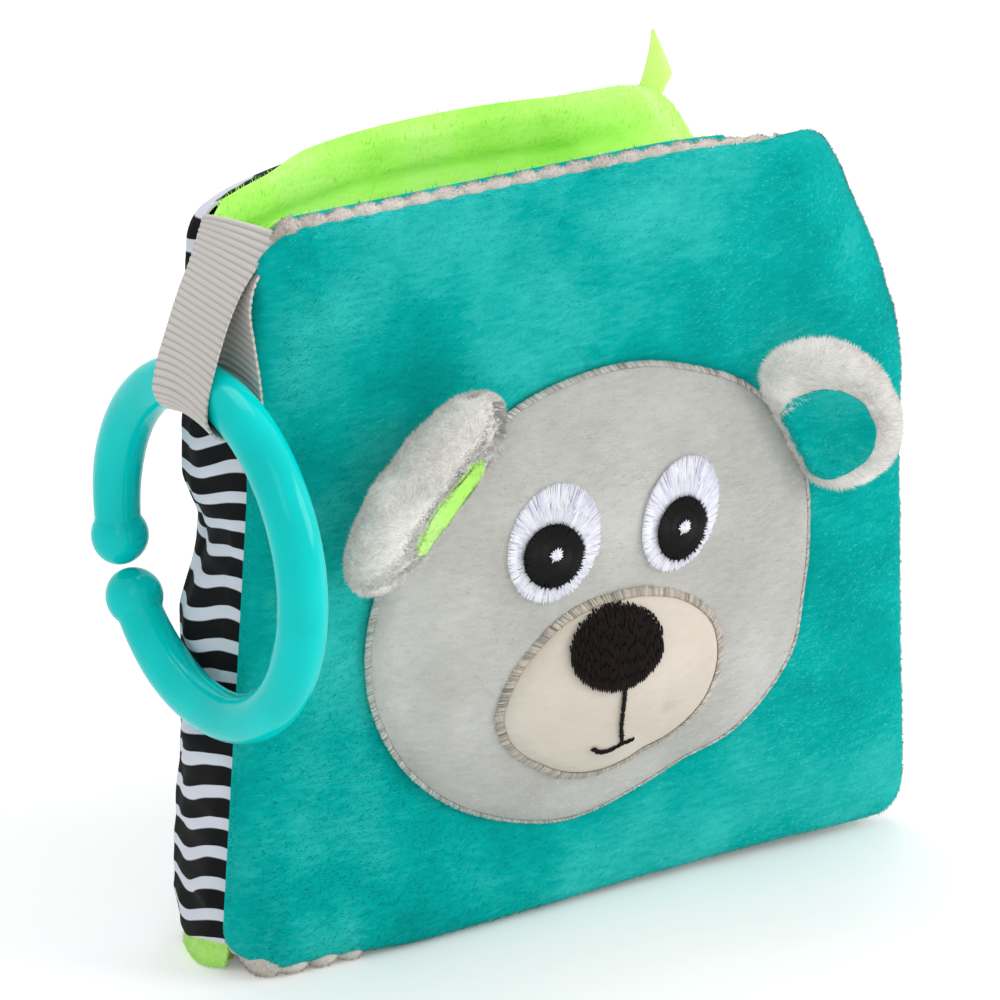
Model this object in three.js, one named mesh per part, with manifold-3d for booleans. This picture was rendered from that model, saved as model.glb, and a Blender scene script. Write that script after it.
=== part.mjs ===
// Cloth crinkle book for a baby: three padded leaves joined at a striped spine, a stuffed bear face on
// the front cover, and a teether ring hanging from a ribbon loop at the spine.
// Millimetres. +X runs from the spine across the cover, +Y from the front cover to the back cover, +Z up.
import * as THREE from "three";
import Module from "manifold-3d";

// Leaves, flat sizes
const leafWidth = 147.5;
const leafHeight = 150.5;
const cornerRadius = 8;
const tipRadius = 23; // rounding of the corner that curls back
const liningDrop = 2.5; // the linings hang this much below the outer cloths
const seamGap = 0.3;
const seamHalf = 1.9; // half the thickness of a leaf at its sewn edge
const edgeRoll = 16; // how far in from the edge the padding reaches its full height

// Front cover
const leftLeanTop = 4.9; // place of the left edge at the top
const leftLeanBottom = -5.3;
const rightDraw = 4; // how much narrower the cover is at the top
const plushThick = 1.6;
const coverCrown = 3.2; // rise of the outer cloth over its seam
const liningCrown = 2.4;
const ribPitch = 6;
const ribHeight = 1.4;
const liningThick = 1.5;
const filmThick = 0.5;
const innerInset = 11; // the wadding and the film stop this far inside the seams

// Corner that curls back
const curlRadius = 16;
const curlTurn = 80;
const curlSlope = 29.4; // angle of the curl's direction over the horizontal
const coverCurlX = 120;
const curlBelow = 15; // the curl's line meets the cover this much below its top
const backCurlEarly = 22; // the back cover starts to curl this much nearer the spine

// Middle page
const pageGap = 0.9;
const pageClear = 1.6; // from the spine's lining
const pageCrown = 1.7;
const pageInset = 2;
const pageShort = 1.5; // how much lower than the covers the page ends

// Back cover
const backStart = 19.7;
const backLead = 36; // direction of the back cover where it leaves the spine
const backTrail = -20;
const backArc = 105;
const backShort = 1;
const backCrown = 3;
const channelDepth = 1;
const channelBelow = 9; // topstitching below the upper edge
const channelHalf = 3.5;
const bendRoom = 0.6; // play between the layers where the cover bends

// Spine
const spineBackTop = -1.4;
const spineBackBottom = -5.8;
const spineShort = 3; // how much lower than the covers the spine ends
const spineHeight = leafHeight - spineShort;
const spineFront = 2.8;
const spineSlant = 0.55; // the spine's front edge clears the cover's lining
const spineBack = 17.3;
const spineCloth = 1.2;
const spinePad = 3;
const spineBulge = 1.2;
const pinchHeight = 82;
const pinchDepth = 5;
const pinchHalf = 9;
const pinchReach = 10; // how far the fold runs into the back cover

// Bear's face
const headX = 72.8;
const headZ = 63.9;
const headWide = 99;
const headTall = 93.5;
const headEdge = 2;
const headRise = 6.4;
const faceCloth = 1.3;
const muzzleX = 74;
const muzzleZ = 47.3;
const muzzleWide = 49.6;
const muzzleTall = 37;
const muzzleEdge = 1.5;
const muzzleRise = 3.6;
const noseX = 72.4;
const noseZ = 57;
const noseWide = 20.8;
const noseTall = 17;
const threadThick = 0.9;
const mouthThread = 0.7;
const mouthTop = 47.6;
const mouthBottom = 36;
const mouthWide = 17;
const mouthSag = 2.6;
const eyes = {
  left: { x: 60.8, z: 79.9, long: 24, wide: 19.2, tilt: 22, pupilX: 60.2, pupilZ: 77.6 },
  right: { x: 89.2, z: 80.3, long: 23.4, wide: 16.6, tilt: 24, pupilX: 89, pupilZ: 77.6 },
};
const pupilAcross = 13.4;
const glintAcross = 3.6;
const glintUp = 0.6;
const borderHalf = 1.1; // satin stitched border, half width
const borderHeight = 0.8;

// Ears: place of the base, direction of the base line, raise off the cover, sizes, hollow of the front
const ears = {
  left: {
    x: 36.6, z: 92.2, turn: 48, raise: 45, base: 34, across: 45, tall: 25, thick: 13.6, seat: 3.2, dish: 2.6,
  },
  right: {
    x: 117.4, z: 89, turn: 117, raise: 30, base: 26, across: 34.5, tall: 21, thick: 7.2, seat: 3.5, dish: 1.6,
  },
};
const earSeam = 1.4;
const earCloth = 1.2;
const earPatchThick = 0.8;
const earPatchShare = 0.6;
const earWadShare = 0.85;

// Ribbon loop and ring
const ribbonWide = 19.5;
const ribbonThick = 0.7;
const ribbonSeatX = 2;
const ribbonSeatY = 10.2;
const ribbonSkew = 18; // turn of the sewn end
const ringX = -9;
const ringY = -1.6;
const ringHang = 29; // the ring's top bar below the ribbon's seat
const ringRadius = 33.3;
const ringBar = 4.9;
const ringBall = 5.6;
const ringBallOut = 0.7;
const ringGapAngle = -24.8;
const ringEndHalf = 10.4; // half the angle between the ball centres
const ringYaw = 3.9;
const clearance = 0.3;
const ribbonSlack = 0.5; // between the ring's bar and the ribbon under it
const mergeStep = 0.001; // places nearer than this are one

// Tag sewn into the back cover's upper edge
const tagAcross = 130; // distance from the spine along the back cover
const tagWide = 7.4;
const tagTall = 12.5;
const tagThick = 0.8;
const tagTip = 0.8;
const tagShoulder = 8; // width where the fold starts, and its height
const tagShoulderUp = 4.2;
const tagLean = 3.5;
const tagLift = 0.3; // above the seam it is sewn into

const colour = {
  teal: 0x00a59c, lime: 0x93f03a, rib: 0xbdb5ae, stripe: 0x55565c, wadding: 0xf4f2ec, film: 0xdfe6ea,
  bear: 0xb9bbb8, bearPale: 0xd0d0cc, thread: 0xd8d4ce, cream: 0xe6ddd2, nose: 0x1a0c0c, black: 0x0d0d0d,
  white: 0xf0f0fa, ribbon: 0xc8c2be, ring: 0x00c2bb,
};

const rad = THREE.MathUtils.degToRad;
const lerp = THREE.MathUtils.lerp;
const part = new THREE.Group();
const book = new THREE.Group();
part.add(book);

function addPiece(name, geometry, tint, roughness = 0.95) {
  const material = new THREE.MeshStandardMaterial({ color: tint, roughness, metalness: 0 });
  const mesh = new THREE.Mesh(geometry, material);
  mesh.name = name;
  book.add(mesh);
  return mesh;
}

// A closed body from points and triangles, turned outward
function closedBody(points, faces) {
  let volume = 0;
  for (let i = 0; i < faces.length; i += 3) {
    const [a, b, c] = [points[faces[i]], points[faces[i + 1]], points[faces[i + 2]]];
    volume += a.dot(new THREE.Vector3().crossVectors(b, c));
  }
  if (volume < 0) faces.reverse();
  const geometry = new THREE.BufferGeometry();
  geometry.setAttribute("position", new THREE.Float32BufferAttribute(points.flatMap((p) => p.toArray()), 3));
  geometry.setIndex(faces);
  geometry.computeVertexNormals();
  return geometry;
}

// A sheet with thickness: two grids of points with a wall round their edge
function sheetBody(columns, rows, near, far) {
  const [wide, high] = [columns.length, rows.length];
  const points = [near, far].flatMap((side) => rows.flatMap((v) => columns.map((u) => side(u, v))));
  const at = (layer, i, j) => (layer * high + j) * wide + i;
  const faces = [];
  const quad = (a, b, c, d) => faces.push(a, b, c, a, c, d);
  for (let j = 0; j < high - 1; j++) {
    for (let i = 0; i < wide - 1; i++) {
      quad(at(0, i, j), at(0, i + 1, j), at(0, i + 1, j + 1), at(0, i, j + 1));
      quad(at(1, i, j), at(1, i, j + 1), at(1, i + 1, j + 1), at(1, i + 1, j));
    }
  }
  for (let i = 0; i < wide - 1; i++) {
    quad(at(0, i, 0), at(1, i, 0), at(1, i + 1, 0), at(0, i + 1, 0));
    quad(at(0, i, high - 1), at(0, i + 1, high - 1), at(1, i + 1, high - 1), at(1, i, high - 1));
  }
  for (let j = 0; j < high - 1; j++) {
    quad(at(0, 0, j), at(0, 0, j + 1), at(1, 0, j + 1), at(1, 0, j));
    quad(at(0, wide - 1, j), at(1, wide - 1, j), at(1, wide - 1, j + 1), at(0, wide - 1, j + 1));
  }
  return closedBody(points, faces);
}

// A flat-edged pad over a closed outline, in rings from its centre
function padBody(outline, ringShares, near, far) {
  const count = outline.length;
  const middle = outline.reduce((sum, p) => sum.add(p), new THREE.Vector2()).divideScalar(count);
  const points = [];
  for (const side of [near, far]) {
    points.push(side(middle.x, middle.y, 0));
    for (const share of ringShares) {
      for (const p of outline) {
        const spot = middle.clone().lerp(p, share);
        points.push(side(spot.x, spot.y, share));
      }
    }
  }
  const layer = 1 + ringShares.length * count;
  const at = (side, ring, i) => side * layer + 1 + ring * count + (i % count);
  const faces = [];
  for (let i = 0; i < count; i++) {
    faces.push(0, at(0, 0, i), at(0, 0, i + 1), layer, at(1, 0, i + 1), at(1, 0, i));
    for (let ring = 0; ring < ringShares.length - 1; ring++) {
      faces.push(at(0, ring, i), at(0, ring + 1, i), at(0, ring + 1, i + 1));
      faces.push(at(0, ring, i), at(0, ring + 1, i + 1), at(0, ring, i + 1));
      faces.push(at(1, ring, i), at(1, ring + 1, i + 1), at(1, ring + 1, i));
      faces.push(at(1, ring, i), at(1, ring, i + 1), at(1, ring + 1, i + 1));
    }
    const last = ringShares.length - 1;
    faces.push(at(0, last, i), at(1, last, i), at(1, last, i + 1));
    faces.push(at(0, last, i), at(1, last, i + 1), at(0, last, i + 1));
  }
  return closedBody(points, faces);
}

// A closed border along an outline, outside it by half its width
function borderBody(outline, place, base) {
  const sides = 5;
  const count = outline.length;
  const points = [];
  for (let i = 0; i < count; i++) {
    const along = outline[(i + 1) % count].clone().sub(outline[(i + count - 1) % count]).normalize();
    const outward = new THREE.Vector2(along.y, -along.x);
    for (let k = 0; k < sides; k++) {
      const turn = (2 * Math.PI * k) / sides;
      const away = borderHalf + clearance + borderHalf * Math.cos(turn);
      const spot = outline[i].clone().addScaledVector(outward, away);
      points.push(place(spot.x, spot.y, base + borderHeight + borderHeight * Math.sin(turn)));
    }
  }
  const faces = [];
  for (let i = 0; i < count; i++) {
    for (let k = 0; k < sides; k++) {
      const [a, b] = [i * sides + k, i * sides + ((k + 1) % sides)];
      const [c, d] = [((i + 1) % count) * sides + k, ((i + 1) % count) * sides + ((k + 1) % sides)];
      faces.push(a, b, d, a, d, c);
    }
  }
  return closedBody(points, faces);
}

// Outlines, counter-clockwise, from shares of half the width and half the height
function closedOutline(x, z, wide, tall, outlineShares, count) {
  const knots = outlineShares.map(([u, v]) => new THREE.Vector3((u * wide) / 2, (v * tall) / 2, 0));
  const curve = new THREE.CatmullRomCurve3(knots, true, "centripetal");
  const spots = curve.getSpacedPoints(count).slice(0, count);
  return spots.map((p) => new THREE.Vector2(x + p.x, z + p.y));
}

function ellipse(x, z, wide, tall, tilt, count) {
  const spots = [];
  for (let i = 0; i < count; i++) {
    const angle = (2 * Math.PI * i) / count;
    const spot = new THREE.Vector2((Math.cos(angle) * wide) / 2, (Math.sin(angle) * tall) / 2);
    spots.push(spot.rotateAround(new THREE.Vector2(), rad(-tilt)).add(new THREE.Vector2(x, z)));
  }
  return spots;
}

// The padding rises from a seam as a quarter round
const roll = (distance) => Math.sqrt(1 - (1 - THREE.MathUtils.clamp(distance / edgeRoll, 0, 1)) ** 2);

// Bends a leaf's corner back: across and up are places on the flat leaf, out is the distance behind it
function curlBack(across, up, out, startX) {
  const lead = new THREE.Vector2(Math.cos(rad(curlSlope)), Math.sin(rad(curlSlope)));
  const past = (across - startX) * lead.x + (up - (leafHeight - curlBelow)) * lead.y;
  if (past <= 0) return [across, up, out];
  const turn = Math.min(past / curlRadius, rad(curlTurn));
  const straight = past - turn * curlRadius;
  const along = curlRadius * Math.sin(turn) + straight * Math.cos(turn) - out * Math.sin(turn);
  const rise = curlRadius * (1 - Math.cos(turn)) + straight * Math.sin(turn) + out * Math.cos(turn);
  return [across + (along - past) * lead.x, up + (along - past) * lead.y, rise];
}

// How far a round corner cuts in at a distance from the edge
const cornerCut = (low, radius) => radius - Math.sqrt(radius ** 2 - Math.max(radius - low, 0) ** 2);

// Place on a leaf from shares of its width and height, with its round corners
function leafSpot(u, v, drop, short) {
  const top = leafHeight - short;
  const up = lerp(-drop, top, v);
  const cut = cornerCut(Math.min(up + drop, top - up), cornerRadius);
  const farCut = Math.max(cornerCut(up + drop, cornerRadius), cornerCut(top - up, tipRadius));
  const across = lerp(cut, leafWidth - farCut, u);
  const padding = roll(across) * roll(leafWidth - across) * roll(up + drop) * roll(top - up);
  return { across, up, padding };
}

// Front cover and middle page share one straight plan
function frontPoint(across, up, out) {
  const [flatX, z, y] = curlBack(across, up, out, coverCurlX);
  const share = z / leafHeight;
  const left = lerp(leftLeanBottom, leftLeanTop, share);
  const right = leafWidth - rightDraw * share;
  return new THREE.Vector3(lerp(left, right, flatX / leafWidth), y, z + liningDrop);
}

// The back cover leaves the spine outward and bends round towards the front cover's far edge
function backPoint(across, up, out) {
  const [along, z, y] = curlBack(across, up, out, coverCurlX - backCurlEarly);
  const radius = backArc / rad(backLead - backTrail);
  const bent = Math.min(along, backArc);
  const turn = rad(backLead) - bent / radius;
  const rest = along - bent;
  const unfolded = pinch(z) * Math.min(along / pinchReach, 1);
  const start = spineBackEdge(z) + seamHalf - unfolded;
  const [c, s] = [Math.cos(turn), Math.sin(turn)];
  const x = start + radius * (Math.sin(rad(backLead)) - s) + rest * c - y * s;
  const depth = backStart + radius * (c - Math.cos(rad(backLead))) + rest * s + y * c;
  return new THREE.Vector3(x, depth, z + liningDrop);
}

const ribCount = Math.round(leafWidth / ribPitch);
const upShares = [0, 0.02, 0.06, 0.14, 0.45, 0.66, 0.74, 0.82, 0.89, 0.94, 0.98, 1];
const bentUpShares = [0, 0.02, 0.06, 0.14, 0.4, 0.48, 0.54, 0.6, 0.68, 0.74, 0.82, 0.89, 0.94, 0.98, 1];
const halfRibShares = Array.from({ length: 2 * ribCount + 1 }, (_, i) => i / (2 * ribCount));
const coverShares = halfRibShares.filter((_, i) => i % 2 === 0 || i > 1.5 * ribCount || i < 3);
const backShares = [0, 0.02, 0.05, 0.1, 0.2, 0.3, 0.4, 0.5, 0.6, 0.66, 0.72, 0.78, 0.84, 0.9, 0.95, 1];
const innerShares = [0, 0.12, 0.24, 0.36, 0.5, 0.64, 0.76, 0.88, 1];
const innerUpShares = [0, 0.35, 0.5, 0.65, 1];

// One layer of a leaf: near and far give the distance behind the leaf's middle from the padding there
function leafLayer(point, columns, rows, drop, short, near, far) {
  const side = (out) => (u, v) => {
    const spot = leafSpot(u, v, drop, short);
    return point(spot.across, spot.up, out(spot.padding, u, spot));
  };
  return sheetBody(columns, rows, side(near), side(far));
}

// A layer inside a leaf, trimmed before the corner that curls
function innerLayer(point, startX, short, near, far) {
  const side = (out) => (u, v) => {
    const up = lerp(innerInset, leafHeight - short - innerInset, v);
    const trim = startX - (up - (leafHeight - curlBelow)) * Math.tan(rad(curlSlope)) - innerInset;
    const across = lerp(innerInset, Math.min(leafWidth - innerInset, trim), u);
    return point(across, up, out);
  };
  return sheetBody(innerShares, innerUpShares, side(near), side(far));
}

function makeFrontCover() {
  const outer = (padding) => -seamHalf - coverCrown * padding;
  const inner = (padding) => Math.min(-seamGap / 2, outer(padding) + plushThick);
  const cloth = leafLayer(frontPoint, coverShares, upShares, 0, 0, outer, inner);
  addPiece("front_cover_cloth", cloth, colour.teal);
  const rib = (u) => ribHeight * (Math.round(u * 2 * ribCount) % 2);
  const face = (padding, u) => seamHalf + liningCrown * padding + rib(u) - ribHeight / 2;
  const ground = seamHalf - liningThick - ribHeight / 2;
  const back = (padding) => Math.max(seamGap / 2, ground + liningCrown * padding);
  const lining = leafLayer(frontPoint, halfRibShares, upShares, liningDrop, 0, back, face);
  addPiece("front_cover_lining", lining, colour.rib);
  const filmFar = ground + liningCrown - 2 * seamGap;
  const filmNear = filmFar - filmThick;
  const film = innerLayer(frontPoint, coverCurlX, 0, filmNear, filmFar);
  addPiece("front_cover_crinkle_film", film, colour.film, 0.3);
  const padNear = -seamHalf - coverCrown + plushThick + 3 * seamGap;
  const wadding = innerLayer(frontPoint, coverCurlX, 0, padNear, filmNear - seamGap);
  addPiece("front_cover_wadding", wadding, colour.wadding);
}

const pageMiddle = seamHalf + liningCrown + ribHeight / 2 + pageGap + seamHalf + pageCrown;

function makeMiddlePage() {
  const point = (across, up, out) => {
    const start = spineInner(pageMiddle, up) + pageClear - leftEdge(up);
    return frontPoint(lerp(start, leafWidth - pageInset, across / leafWidth), up, pageMiddle + out);
  };
  const front = (padding) => -seamHalf - pageCrown * padding;
  const frontIn = (padding) => Math.min(-seamGap / 2, front(padding) + plushThick);
  const frontCloth = leafLayer(point, backShares, bentUpShares, 0, pageShort, front, frontIn);
  addPiece("middle_page_front_cloth", frontCloth, colour.teal);
  const back = (padding) => seamHalf + pageCrown * padding;
  const backIn = (padding) => Math.max(seamGap / 2, back(padding) - plushThick);
  const backCloth = leafLayer(point, backShares, bentUpShares, liningDrop, pageShort, backIn, back);
  addPiece("middle_page_back_cloth", backCloth, colour.lime);
  const half = seamHalf + pageCrown - plushThick - 2 * seamGap;
  const film = innerLayer(point, coverCurlX, pageShort, half - filmThick, half);
  addPiece("middle_page_crinkle_film", film, colour.film, 0.3);
  const wadding = innerLayer(point, coverCurlX, pageShort, -half, half - filmThick - seamGap);
  addPiece("middle_page_wadding", wadding, colour.wadding);
}

function makeBackCover() {
  const channelUp = leafHeight - backShort - channelBelow;
  const channel = (up) => channelDepth * Math.exp(-(((up - channelUp) / channelHalf) ** 2));
  const face = (padding, u, spot) => -seamHalf - backCrown * padding + channel(spot.up) * padding;
  const faceIn = (padding, u, spot) => Math.min(-seamGap / 2, face(padding, u, spot) + plushThick);
  const lining = leafLayer(backPoint, backShares, bentUpShares, liningDrop, backShort, face, faceIn);
  addPiece("back_cover_lining", lining, colour.lime);
  const outer = (padding) => seamHalf + backCrown * padding;
  const outerIn = (padding) => Math.max(seamGap / 2, outer(padding) - spineCloth);
  const cloth = leafLayer(backPoint, backShares, bentUpShares, 0, backShort, outerIn, outer);
  addPiece("back_cover_cloth", cloth, colour.stripe);
  const startX = coverCurlX - backCurlEarly;
  const near = -seamHalf - backCrown + plushThick + channelDepth + bendRoom;
  const far = seamHalf + backCrown - spineCloth - bendRoom - seamGap;
  const film = innerLayer(backPoint, startX, backShort, near, near + filmThick);
  addPiece("back_cover_crinkle_film", film, colour.film, 0.3);
  const wadding = innerLayer(backPoint, startX, backShort, near + filmThick + seamGap, far);
  addPiece("back_cover_wadding", wadding, colour.wadding);
}

const leftEdge = (up) => lerp(leftLeanBottom, leftLeanTop, up / leafHeight);
const pinch = (up) => pinchDepth * Math.exp(-(((up - pinchHeight) / pinchHalf) ** 2));
const spineBackEdge = (up) => lerp(spineBackBottom, spineBackTop, up / leafHeight) + pinch(up);

// Outer face of the spine at a depth and a height, with the fold pressed into it
function spineOuter(depth, up) {
  const share = depth / backStart;
  return lerp(leftEdge(up), spineBackEdge(up), share) - spineBulge * Math.sin(Math.PI * share);
}

const spineInner = (depth, up) => spineOuter(depth, up) + 2 * spineCloth + spinePad + 2 * seamGap;

function makeSpine() {
  const depthShares = [0, 0.2, 0.5, 0.8, 1];
  const heightShares = [0, 0.03, 0.15, 0.3, 0.42, 0.48, 0.52, 0.55, 0.58, 0.62, 0.7, 0.85, 0.97, 1];
  const layer = (low, high, near, far, inset) => {
    const side = (offset) => (u, v) => {
      const depth = lerp(spineFront + inset + spineSlant * offset, spineBack - inset, u);
      const z = lerp(low, high, v);
      return new THREE.Vector3(spineOuter(depth, z - liningDrop) + offset, depth, z);
    };
    return sheetBody(depthShares, heightShares, side(near), side(far));
  };
  const padIn = spineCloth + seamGap;
  const liningIn = padIn + spinePad + seamGap;
  addPiece("spine_cloth", layer(liningDrop, spineHeight, 0, spineCloth, 0), colour.stripe);
  const pad = layer(2 * liningDrop, spineHeight - liningDrop, padIn, padIn + spinePad, spineCloth);
  addPiece("spine_wadding", pad, colour.wadding);
  addPiece("spine_lining", layer(0, spineHeight, liningIn, liningIn + spineCloth, 0), colour.lime);
}

// Pieces of the face lie on the front cover's full height; out is the distance in front of it
const coverFace = seamHalf + coverCrown;
const facePoint = (x, z, out) => new THREE.Vector3(x, -coverFace - out, z + liningDrop);

const domeHeight = (x, z) => {
  const reach = Math.hypot((x - headX) / (headWide / 2), (z - headZ) / (headTall / 2));
  return headEdge + headRise * (1 - Math.min(reach, 1) ** 2.4);
};
const muzzleHeight = (x, z) => {
  const reach = Math.hypot((x - muzzleX) / (muzzleWide / 2), (z - muzzleZ) / (muzzleTall / 2));
  return domeHeight(x, z) + clearance + muzzleEdge + muzzleRise * (1 - Math.min(reach, 1) ** 2);
};

const headShares = [
  [0.97, -0.22], [1, 0.1], [0.995, 0.3], [0.87, 0.62], [0.7, 0.81], [0.45, 0.93], [0.2, 1], [-0.07, 0.985],
  [-0.35, 0.9], [-0.55, 0.75], [-0.75, 0.52], [-0.94, 0.25], [-1, 0], [-0.99, -0.25], [-0.87, -0.55],
  [-0.68, -0.77], [-0.4, -0.93], [-0.1, -1], [0.18, -0.93], [0.42, -0.83], [0.65, -0.77], [0.82, -0.62],
  [0.94, -0.45],
];
const muzzleShares = [
  [0.98, 0.02], [0.92, 0.45], [0.7, 0.76], [0.35, 0.96], [0, 1], [-0.35, 0.93], [-0.7, 0.63], [-0.93, 0.2],
  [-1, -0.15], [-0.9, -0.48], [-0.62, -0.78], [-0.3, -0.98], [0, -1], [0.32, -0.85], [0.65, -0.72],
  [0.9, -0.38],
];
const ringShares = [0.3, 0.55, 0.75, 0.9, 1];
const wadShares = [0.4, 0.7, 0.9, 1];
const smallShares = [0.6, 1];

function makeHead() {
  const outline = closedOutline(headX, headZ, headWide, headTall, headShares, 48);
  const top = (x, z) => facePoint(x, z, domeHeight(x, z));
  const under = (x, z) => facePoint(x, z, domeHeight(x, z) - faceCloth);
  addPiece("head_cloth", padBody(outline, ringShares, under, top), colour.bear);
  const inner = closedOutline(headX, headZ, headWide - innerInset, headTall - innerInset, headShares, 28);
  const floor = (x, z) => facePoint(x, z, clearance);
  const roof = (x, z) => facePoint(x, z, domeHeight(x, z) - faceCloth - clearance);
  addPiece("head_wadding", padBody(inner, wadShares, floor, roof), colour.wadding);
  addPiece("head_edge_stitching", borderBody(outline, facePoint, clearance), colour.thread, 0.5);
}

function makeMuzzle() {
  const outline = closedOutline(muzzleX, muzzleZ, muzzleWide, muzzleTall, muzzleShares, 36);
  const top = (x, z) => facePoint(x, z, muzzleHeight(x, z));
  const under = (x, z) => facePoint(x, z, muzzleHeight(x, z) - faceCloth);
  addPiece("muzzle_cloth", padBody(outline, ringShares, under, top), colour.cream);
  const [wide, tall] = [muzzleWide - innerInset, muzzleTall - innerInset];
  const inner = closedOutline(muzzleX, muzzleZ, wide, tall, muzzleShares, 24);
  const floor = (x, z) => facePoint(x, z, domeHeight(x, z) + clearance);
  const roof = (x, z) => facePoint(x, z, muzzleHeight(x, z) - faceCloth - clearance);
  addPiece("muzzle_wadding", padBody(inner, wadShares, floor, roof), colour.wadding);
  const onHead = (x, z, out) => facePoint(x, z, domeHeight(x, z) + out);
  addPiece("muzzle_edge_stitching", borderBody(outline, onHead, clearance), colour.thread, 0.5);
}

function makePatch(name, outline, height, tint, roughness) {
  const under = (x, z) => facePoint(x, z, height(x, z) + clearance);
  const top = (x, z) => facePoint(x, z, height(x, z) + clearance + threadThick);
  addPiece(name, padBody(outline, smallShares, under, top), tint, roughness);
}

function makeFaceStitching() {
  const nose = ellipse(noseX, noseZ, noseWide, noseTall, 0, 20);
  makePatch("nose_embroidery", nose, muzzleHeight, colour.nose, 0.6);
  const section = new THREE.Shape(ellipse(0, 0, 2 * mouthThread, 2 * mouthThread, 0, 6));
  const onMuzzle = (x, z) => facePoint(x, z, muzzleHeight(x, z) + clearance + mouthThread);
  const thread = (name, spots, steps) => {
    const extrudePath = new THREE.CatmullRomCurve3(spots.map(([x, z]) => onMuzzle(x, z)));
    const geometry = new THREE.ExtrudeGeometry(section, { steps, extrudePath, bevelEnabled: false });
    addPiece(name, geometry, colour.nose, 0.6);
  };
  const middle = (mouthTop + mouthBottom) / 2;
  const lineBottom = mouthBottom + 2 * mouthThread + clearance;
  const lineX = noseX + mouthThread;
  thread("mouth_line_stitching", [[lineX, mouthTop], [lineX, middle], [lineX, lineBottom]], 6);
  const smileShares = [[-0.27, -0.1], [-0.1, -0.6], [0.1, -0.2], [0.3, -0.1]];
  const smile = smileShares.map(([u, v]) => [noseX + u * mouthWide, mouthBottom + v * mouthSag]);
  thread("mouth_curve_stitching", smile, 10);
  for (const [side, eye] of Object.entries(eyes)) {
    const white = ellipse(eye.x, eye.z, eye.wide, eye.long, eye.tilt, 20);
    makePatch(`${side}_eye_white`, white, domeHeight, colour.white, 0.5);
    const raised = (layers) => (x, z) => domeHeight(x, z) + layers * (threadThick + clearance);
    const pupil = ellipse(eye.pupilX, eye.pupilZ, pupilAcross, pupilAcross, 0, 16);
    makePatch(`${side}_eye_pupil`, pupil, raised(1), colour.black, 0.5);
    const glint = ellipse(eye.pupilX, eye.pupilZ + glintUp, glintAcross, glintAcross, 0, 8);
    makePatch(`${side}_eye_highlight`, glint, raised(2), colour.white, 0.5);
  }
}

const earShares = [0.4, 0.75, 0.93, 1];
// Ear outline: its base line is at zero and its tip at one, as shares of half its width and of its height
const earSideShares = [[1, 0.42], [0.88, 0.72], [0.5, 0.94], [0, 1]];

function makeEar(side, ear, patchTint, clothTint) {
  const baseShare = ear.base / ear.across;
  const half = [[baseShare, 0], [0.97, 0.18], ...earSideShares];
  const mirrored = half.slice(0, -1).reverse().map(([u, v]) => [-u, v]);
  const halfWide = ear.across / 2;
  const knots = [...half, ...mirrored].map(([u, v]) => new THREE.Vector3(u * halfWide, v * ear.tall, 0));
  const curve = new THREE.CatmullRomCurve3(knots, false, "centripetal");
  const outline = curve.getSpacedPoints(18).map((p) => new THREE.Vector2(p.x, p.y));
  const [turn, raise] = [rad(ear.turn), rad(ear.raise)];
  const along = new THREE.Vector3(Math.cos(turn), 0, Math.sin(turn));
  const away = ear.turn < 90
    ? new THREE.Vector3(-Math.sin(turn), 0, Math.cos(turn))
    : new THREE.Vector3(Math.sin(turn), 0, -Math.cos(turn));
  const reach = away.clone().multiplyScalar(Math.cos(raise)).add(new THREE.Vector3(0, -Math.sin(raise), 0));
  const facing = away.clone().multiplyScalar(-Math.sin(raise)).add(new THREE.Vector3(0, -Math.cos(raise), 0));
  const base = facePoint(ear.x, ear.z, ear.seat);
  const place = (p, q, out) =>
    base.clone().addScaledVector(along, p).addScaledVector(reach, q).addScaledVector(facing, out);
  const full = (share) => earSeam + (ear.thick / 2 - earSeam) * Math.sqrt(1 - Math.min(share, 1) ** 2);
  const front = (share) => full(share) - ear.dish * Math.max(1 - (share / earWadShare) ** 2, 0) ** 2;
  const inside = (share) => Math.max(seamGap, full(share) - earCloth);
  const frontInside = (share) => Math.max(seamGap, front(share) - earCloth);
  const layer = (name, spots, list, near, far, tint) => {
    const side = (height) => (p, q, s) => place(p, q, height(s));
    const geometry = padBody(spots, list, side(near), side(far));
    addPiece(name, geometry, tint);
  };
  layer(`${side}_ear_back_cloth`, outline, earShares, (s) => -full(s), (s) => -inside(s), clothTint);
  layer(`${side}_ear_front_cloth`, outline, earShares, frontInside, front, clothTint);
  const middle = outline.reduce((sum, p) => sum.add(p), new THREE.Vector2()).divideScalar(outline.length);
  const scaled = (share) => outline.filter((_, i) => i % 2 === 0).map((p) => middle.clone().lerp(p, share));
  const wad = (height) => (s) => height(s * earWadShare) - earCloth - seamGap;
  const wadBack = (s) => -wad(full)(s);
  layer(`${side}_ear_filling`, scaled(earWadShare), smallShares, wadBack, wad(front), colour.wadding);
  const onFront = (s) => front(s * earPatchShare) + clearance;
  const patchTop = (s) => onFront(s) + earPatchThick;
  layer(`${side}_ear_inner_patch`, scaled(earPatchShare), smallShares, onFront, patchTop, patchTint);
}

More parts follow.
